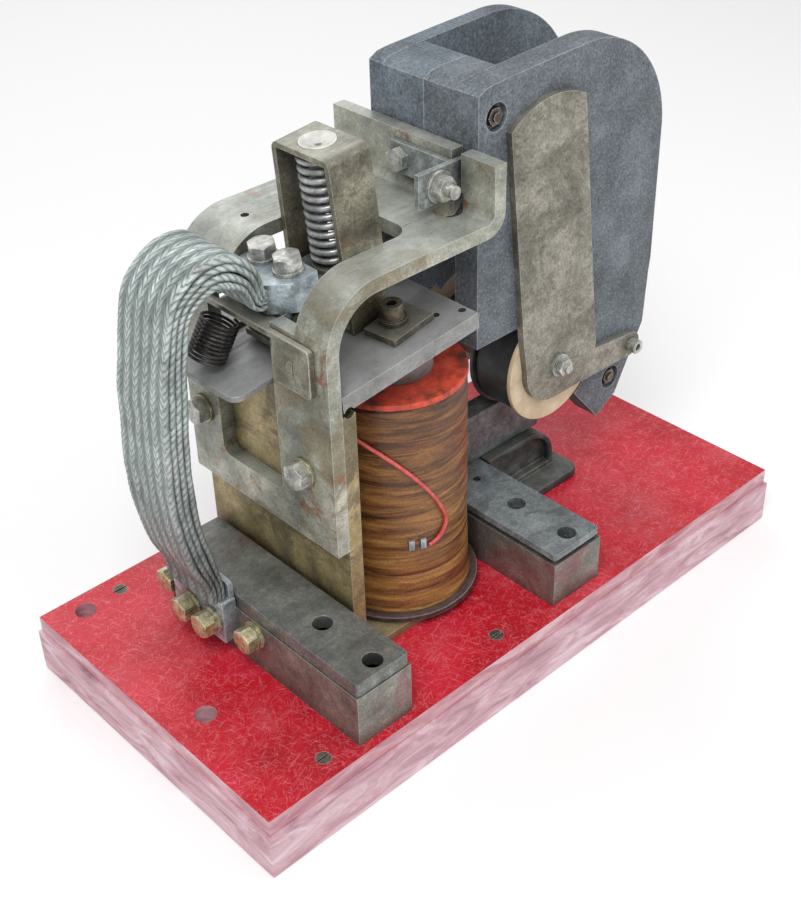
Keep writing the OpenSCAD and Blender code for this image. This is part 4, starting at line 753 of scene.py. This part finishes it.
def makeWinding():
    # A half profile is spun round the core, then the tape's relief is pushed in.
    spec = winding
    bm = bmesh.new()
    centre = at(spec["x"], spec["y"], 0)
    rise = (spec["high"] - spec["low"]) / spec["rings"]
    places = [(spec["hole"], spec["low"])]
    places += [(spec["radius"], spec["low"] + rise * i) for i in range(spec["rings"] + 1)]
    places.append((spec["hole"], spec["high"]))
    profile = [bm.verts.new(centre + Vector((r / 1000, 0, z / 1000))) for r, z in places]
    edges = [bm.edges.new((a, b)) for a, b in zip(profile, profile[1:] + profile[:1])]
    bmesh.ops.spin(bm, geom=profile + edges, cent=centre, axis=(0, 0, 1), angle=2 * math.pi,
                   steps=spec["steps"], use_merge=True)
    boundary = (spec["hole"] + spec["radius"]) / 2000
    for vert in bm.verts:
        flat = vert.co - centre
        z = flat.z * 1000
        flat.z = 0
        if flat.length > boundary:
            turn = math.atan2(flat.y, flat.x) / (2 * math.pi)
            vert.co += flat.normalized() * tapeRelief(z, turn) / 1000
    bmesh.ops.recalc_face_normals(bm, faces=bm.faces)
    keepPiece("wrappedWinding", bm, finishes["tape"], "base", ("coil_winding",), angle=50)


makeWinding()

# The lead's knots are turns round the winding in degrees, and heights.
lead = {"radius": 1.3, "gap": 0.1, "steps": 10,
        "route": [(-162, 186), (-141, 176), (-122, 162), (-107, 146), (-96, 130), (-92, 118),
                  (-98, 109), (-107, 105)]}


def throughKnots(knots, steps):
    # Catmull-Rom points through every knot.
    out = []
    for i in range(len(knots) - 1):
        a, b = knots[max(i - 1, 0)], knots[i]
        c, d = knots[i + 1], knots[min(i + 2, len(knots) - 1)]
        for k in range(steps):
            t = k / steps
            out.append(tuple(0.5 * (2 * q + (r - p) * t + (2 * p - 5 * q + 4 * r - s) * t * t
                             + (3 * q - p - 3 * r + s) * t ** 3) for p, q, r, s in zip(a, b, c, d)))
    out.append(tuple(knots[-1]))
    return out


def makeLead():
    out = winding["radius"] + lead["radius"] + lead["gap"]
    points = [at(winding["x"] + out * math.cos(math.radians(turn)),
                 winding["y"] + out * math.sin(math.radians(turn)), height)
              for turn, height in throughKnots(lead["route"], lead["steps"])]
    tubeAlong("coilLeadSleeve", points, lead["radius"] / 1000, finishes["leadSleeve"], "base",
              ("coil_lead",))


makeLead()
print("coil made")

# Braid.
# Each knot has its place, the width there and the pitch of the layers.
braid = {"layers": 4, "columns": 10, "bandMm": 5.0, "slant": 1.45, "wires": 5.0, "stationMm": 0.62,
         "knotSteps": 12, "fine": 92, "coarse": 26, "capSteps": 6, "fill": 0.47, "reliefMm": 0.4,
         "rippleMm": 0.75, "layerShift": 2.3, "rippleOver": (24, 1.7, 18), "columnShift": 0.37,
         "strayShare": 0.3, "crown": 1.25, "rideShift": 0.25, "middleHeight": 0.7, "leastThick": 0.8,
         "route": [(112.9, 127.5, 282.3, 34, 2.8), (108.6, 127.5, 283, 37, 2.8),
                   (105.4, 127.6, 285.9, 40, 2.9), (103.2, 128, 291.5, 42, 3.1),
                   (98.5, 128.5, 301.6, 45, 3.9), (89, 130, 309, 46, 4.9), (78, 132, 309.6, 46, 4.8),
                   (68, 134.5, 303.3, 46, 4.6), (59.5, 137, 291.2, 46, 4.0), (54.6, 139, 266, 46, 3.7),
                   (51.8, 140.5, 238, 46, 4.3), (49.4, 141, 210, 46, 4.1), (48.9, 142, 180, 46, 4.2),
                   (51.5, 143, 150, 46, 4.2), (57.4, 144, 124, 46, 4.0), (62.6, 145, 108, 46, 3.1),
                   (65, 145, 98, 46, 2.8), (65, 145, 89.3, 46, 2.8)]}


def plaitHeight(u, v):
    # Bands of wire slant one way in one column and the other way in the next, as in a flat plait.
    stray = braid["strayShare"]
    place = v * braid["columns"] + stray * noise.noise(Vector((u / 11, v * 3, 1.0)))
    column = math.floor(place)
    f = place - column
    way = 1 if column % 2 == 0 else -1
    loose = stray * noise.noise(Vector((u / 14, v * 9, 5.0))) + braid["columnShift"] * (column % 2)
    phase = u / braid["bandMm"] + way * (f - 0.5) * braid["slant"] + loose
    share = phase - math.floor(phase)
    over = min(1.0, braid["crown"] * math.sin(math.pi * share) ** 0.5)
    lift = 0.5 + 0.5 * math.sin(math.pi * min(max(f + braid["rideShift"] * way, 0.0), 1.0))
    return over * lift, share


def sectionPoint(i, across, down, half, thick):
    # The rounded flat section: top, far side, underside, near side; it gives y, h and the share across.
    caps = braid["capSteps"]
    if i <= across:
        y = half * (2 * i / across - 1)
        return y, thick, i / across
    i -= across
    if i <= caps:
        a = math.pi * i / caps
        return half + thick * math.sin(a), thick * math.cos(a), 1.0 + 0.1 * i / caps
    i -= caps
    if i <= down:
        return half * (1 - 2 * i / down), -thick, 1.1 + i / down
    i -= down
    a = math.pi * i / caps
    return -half - thick * math.sin(a), -thick * math.cos(a), 2.1 + 0.1 * i / caps


def braidSpots():
    # Evenly spaced stations along the route: place, width and pitch, and the whole length.
    knots = throughKnots(braid["route"], braid["knotSteps"])
    route = [Vector(p[:3]) for p in knots]
    along = [0.0]
    for p, q in zip(route, route[1:]):
        along.append(along[-1] + (q - p).length)
    total = along[-1]
    stations = int(total / braid["stationMm"])
    spots = []
    j = 0
    for i in range(stations + 1):
        run = total * i / stations
        while j < len(route) - 2 and along[j + 1] < run:
            j += 1
        t = min(max((run - along[j]) / (along[j + 1] - along[j]), 0), 1)
        width, pitch = (a * (1 - t) + b * t for a, b in zip(knots[j][3:], knots[j + 1][3:]))
        spots.append((route[j].lerp(route[j + 1], t), width, pitch))
    return spots, total


def braidLayer(layer, spots, total):
    # A grid is rolled into the flat section at each station and lifted by the plait's height.
    last = len(spots) - 1
    # The outermost layer and the underside of the innermost show their woven faces.
    across = braid["fine"] if layer == 0 else braid["coarse"]
    down = braid["fine"] if layer == braid["layers"] - 1 else braid["coarse"]
    ring = across + down + 2 * braid["capSteps"]
    bm = bmesh.new()
    bmesh.ops.create_grid(bm, x_segments=ring, y_segments=last, size=0.5)
    plait = bm.verts.layers.float.new("plait")
    wires = bm.loops.layers.uv.new("wires")
    marks = {}
    alongMm, perLayer, acrossMm = braid["rippleOver"]
    for vert in bm.verts:
        i = round((vert.co.x + 0.5) * ring) % ring
        step = round((vert.co.y + 0.5) * last)
        place, width, pitch = spots[step]
        tangent = (spots[min(step + 1, last)][0] - spots[max(step - 1, 0)][0]).normalized()
        out = Vector((tangent.z, 0, -tangent.x)).normalized()
        thick = pitch * braid["fill"]
        y, h, share = sectionPoint(i, across, down, width / 2 - thick, thick)
        u = total * step / last
        height, wire = plaitHeight(u + layer * braid["layerShift"], share)
        marks[vert] = wire * braid["wires"]
        # The plait height is kept for the colour, where it becomes painted highlight and shade.
        vert[plait] = min(max(height, 0.0), 1.0)
        shrink = 1 + braid["reliefMm"] * (height - braid["middleHeight"]) / max(thick, braid["leastThick"])
        ripple = braid["rippleMm"] * noise.noise(Vector((u / alongMm, layer * perLayer, y / acrossMm)))
        off = ((braid["layers"] - 1) / 2 - layer) * pitch
        sideways = (shrink - 1) * math.copysign(thick, y) if abs(h) < thick * 0.99 else 0
        vert.co = at(*(place + Vector((0, y + sideways, 0)) + out * (off + h * shrink + ripple)))
    for face in bm.faces:
        for loop in face.loops:
            loop[wires].uv = (marks[loop.vert], 0.0)
    bmesh.ops.remove_doubles(bm, verts=bm.verts, dist=1e-6)
    bmesh.ops.holes_fill(bm, edges=[edge for edge in bm.edges if len(edge.link_faces) == 1], sides=0)
    bmesh.ops.recalc_face_normals(bm, faces=bm.faces)
    return keepPiece("braidLayer%d" % (layer + 1), bm, finishes["braid"], None, (), angle=180)


def makeBraid():
    spots, total = braidSpots()
    for layer in range(braid["layers"]):
        piece = braidLayer(layer, spots, total)
        if layer == 0:
            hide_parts("braid")
        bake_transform(piece)


makeBraid()
print("braid made")


# Floor and light.
studio = {"floorHalf": 6.0, "floorDrop": 0.0005, "floorTone": 0.97, "skyStrength": 0.55,
          "aim": (0, 0, 0.15),
          "lamps": {"key": {"place": (-0.9, -0.7, 1.7), "size": 0.9, "watts": 22.0},
                    "fill": {"place": (1.2, -1.3, 1.1), "size": 1.4, "watts": 7.0},
                    "back": {"place": (0.6, 1.4, 1.5), "size": 1.3, "watts": 8.0}}}


def makeStage():
    bm = bmesh.new()
    bmesh.ops.create_grid(bm, x_segments=1, y_segments=1, size=studio["floorHalf"])
    data = bpy.data.meshes.new("floor")
    bm.to_mesh(data)
    bm.free()
    floor = bpy.data.objects.new("floor", data)
    floor.location.z = -studio["floorDrop"]
    bpy.context.scene.collection.objects.link(floor)
    mat, shader, _ = startMaterial("pale studio floor", 0.9)
    shader.inputs["Base Color"].default_value = (studio["floorTone"],) * 3 + (1.0,)
    data.materials.append(mat)
    world = bpy.data.worlds.new("studio")
    bpy.context.scene.world = world
    world.use_nodes = True
    sky = world.node_tree.nodes["Background"]
    sky.inputs["Color"].default_value = (1.0, 1.0, 1.0, 1.0)
    sky.inputs["Strength"].default_value = studio["skyStrength"]
    for name, spec in studio["lamps"].items():
        lamp = bpy.data.lights.new(name, "AREA")
        lamp.size = spec["size"]
        lamp.energy = spec["watts"]
        obj = bpy.data.objects.new(name, lamp)
        bpy.context.scene.collection.objects.link(obj)
        obj.location = spec["place"]
        ahead = Vector(studio["aim"]) - Vector(spec["place"])
        obj.rotation_euler = ahead.to_track_quat("-Z", "Y").to_euler()


makeStage()
print("stage made")
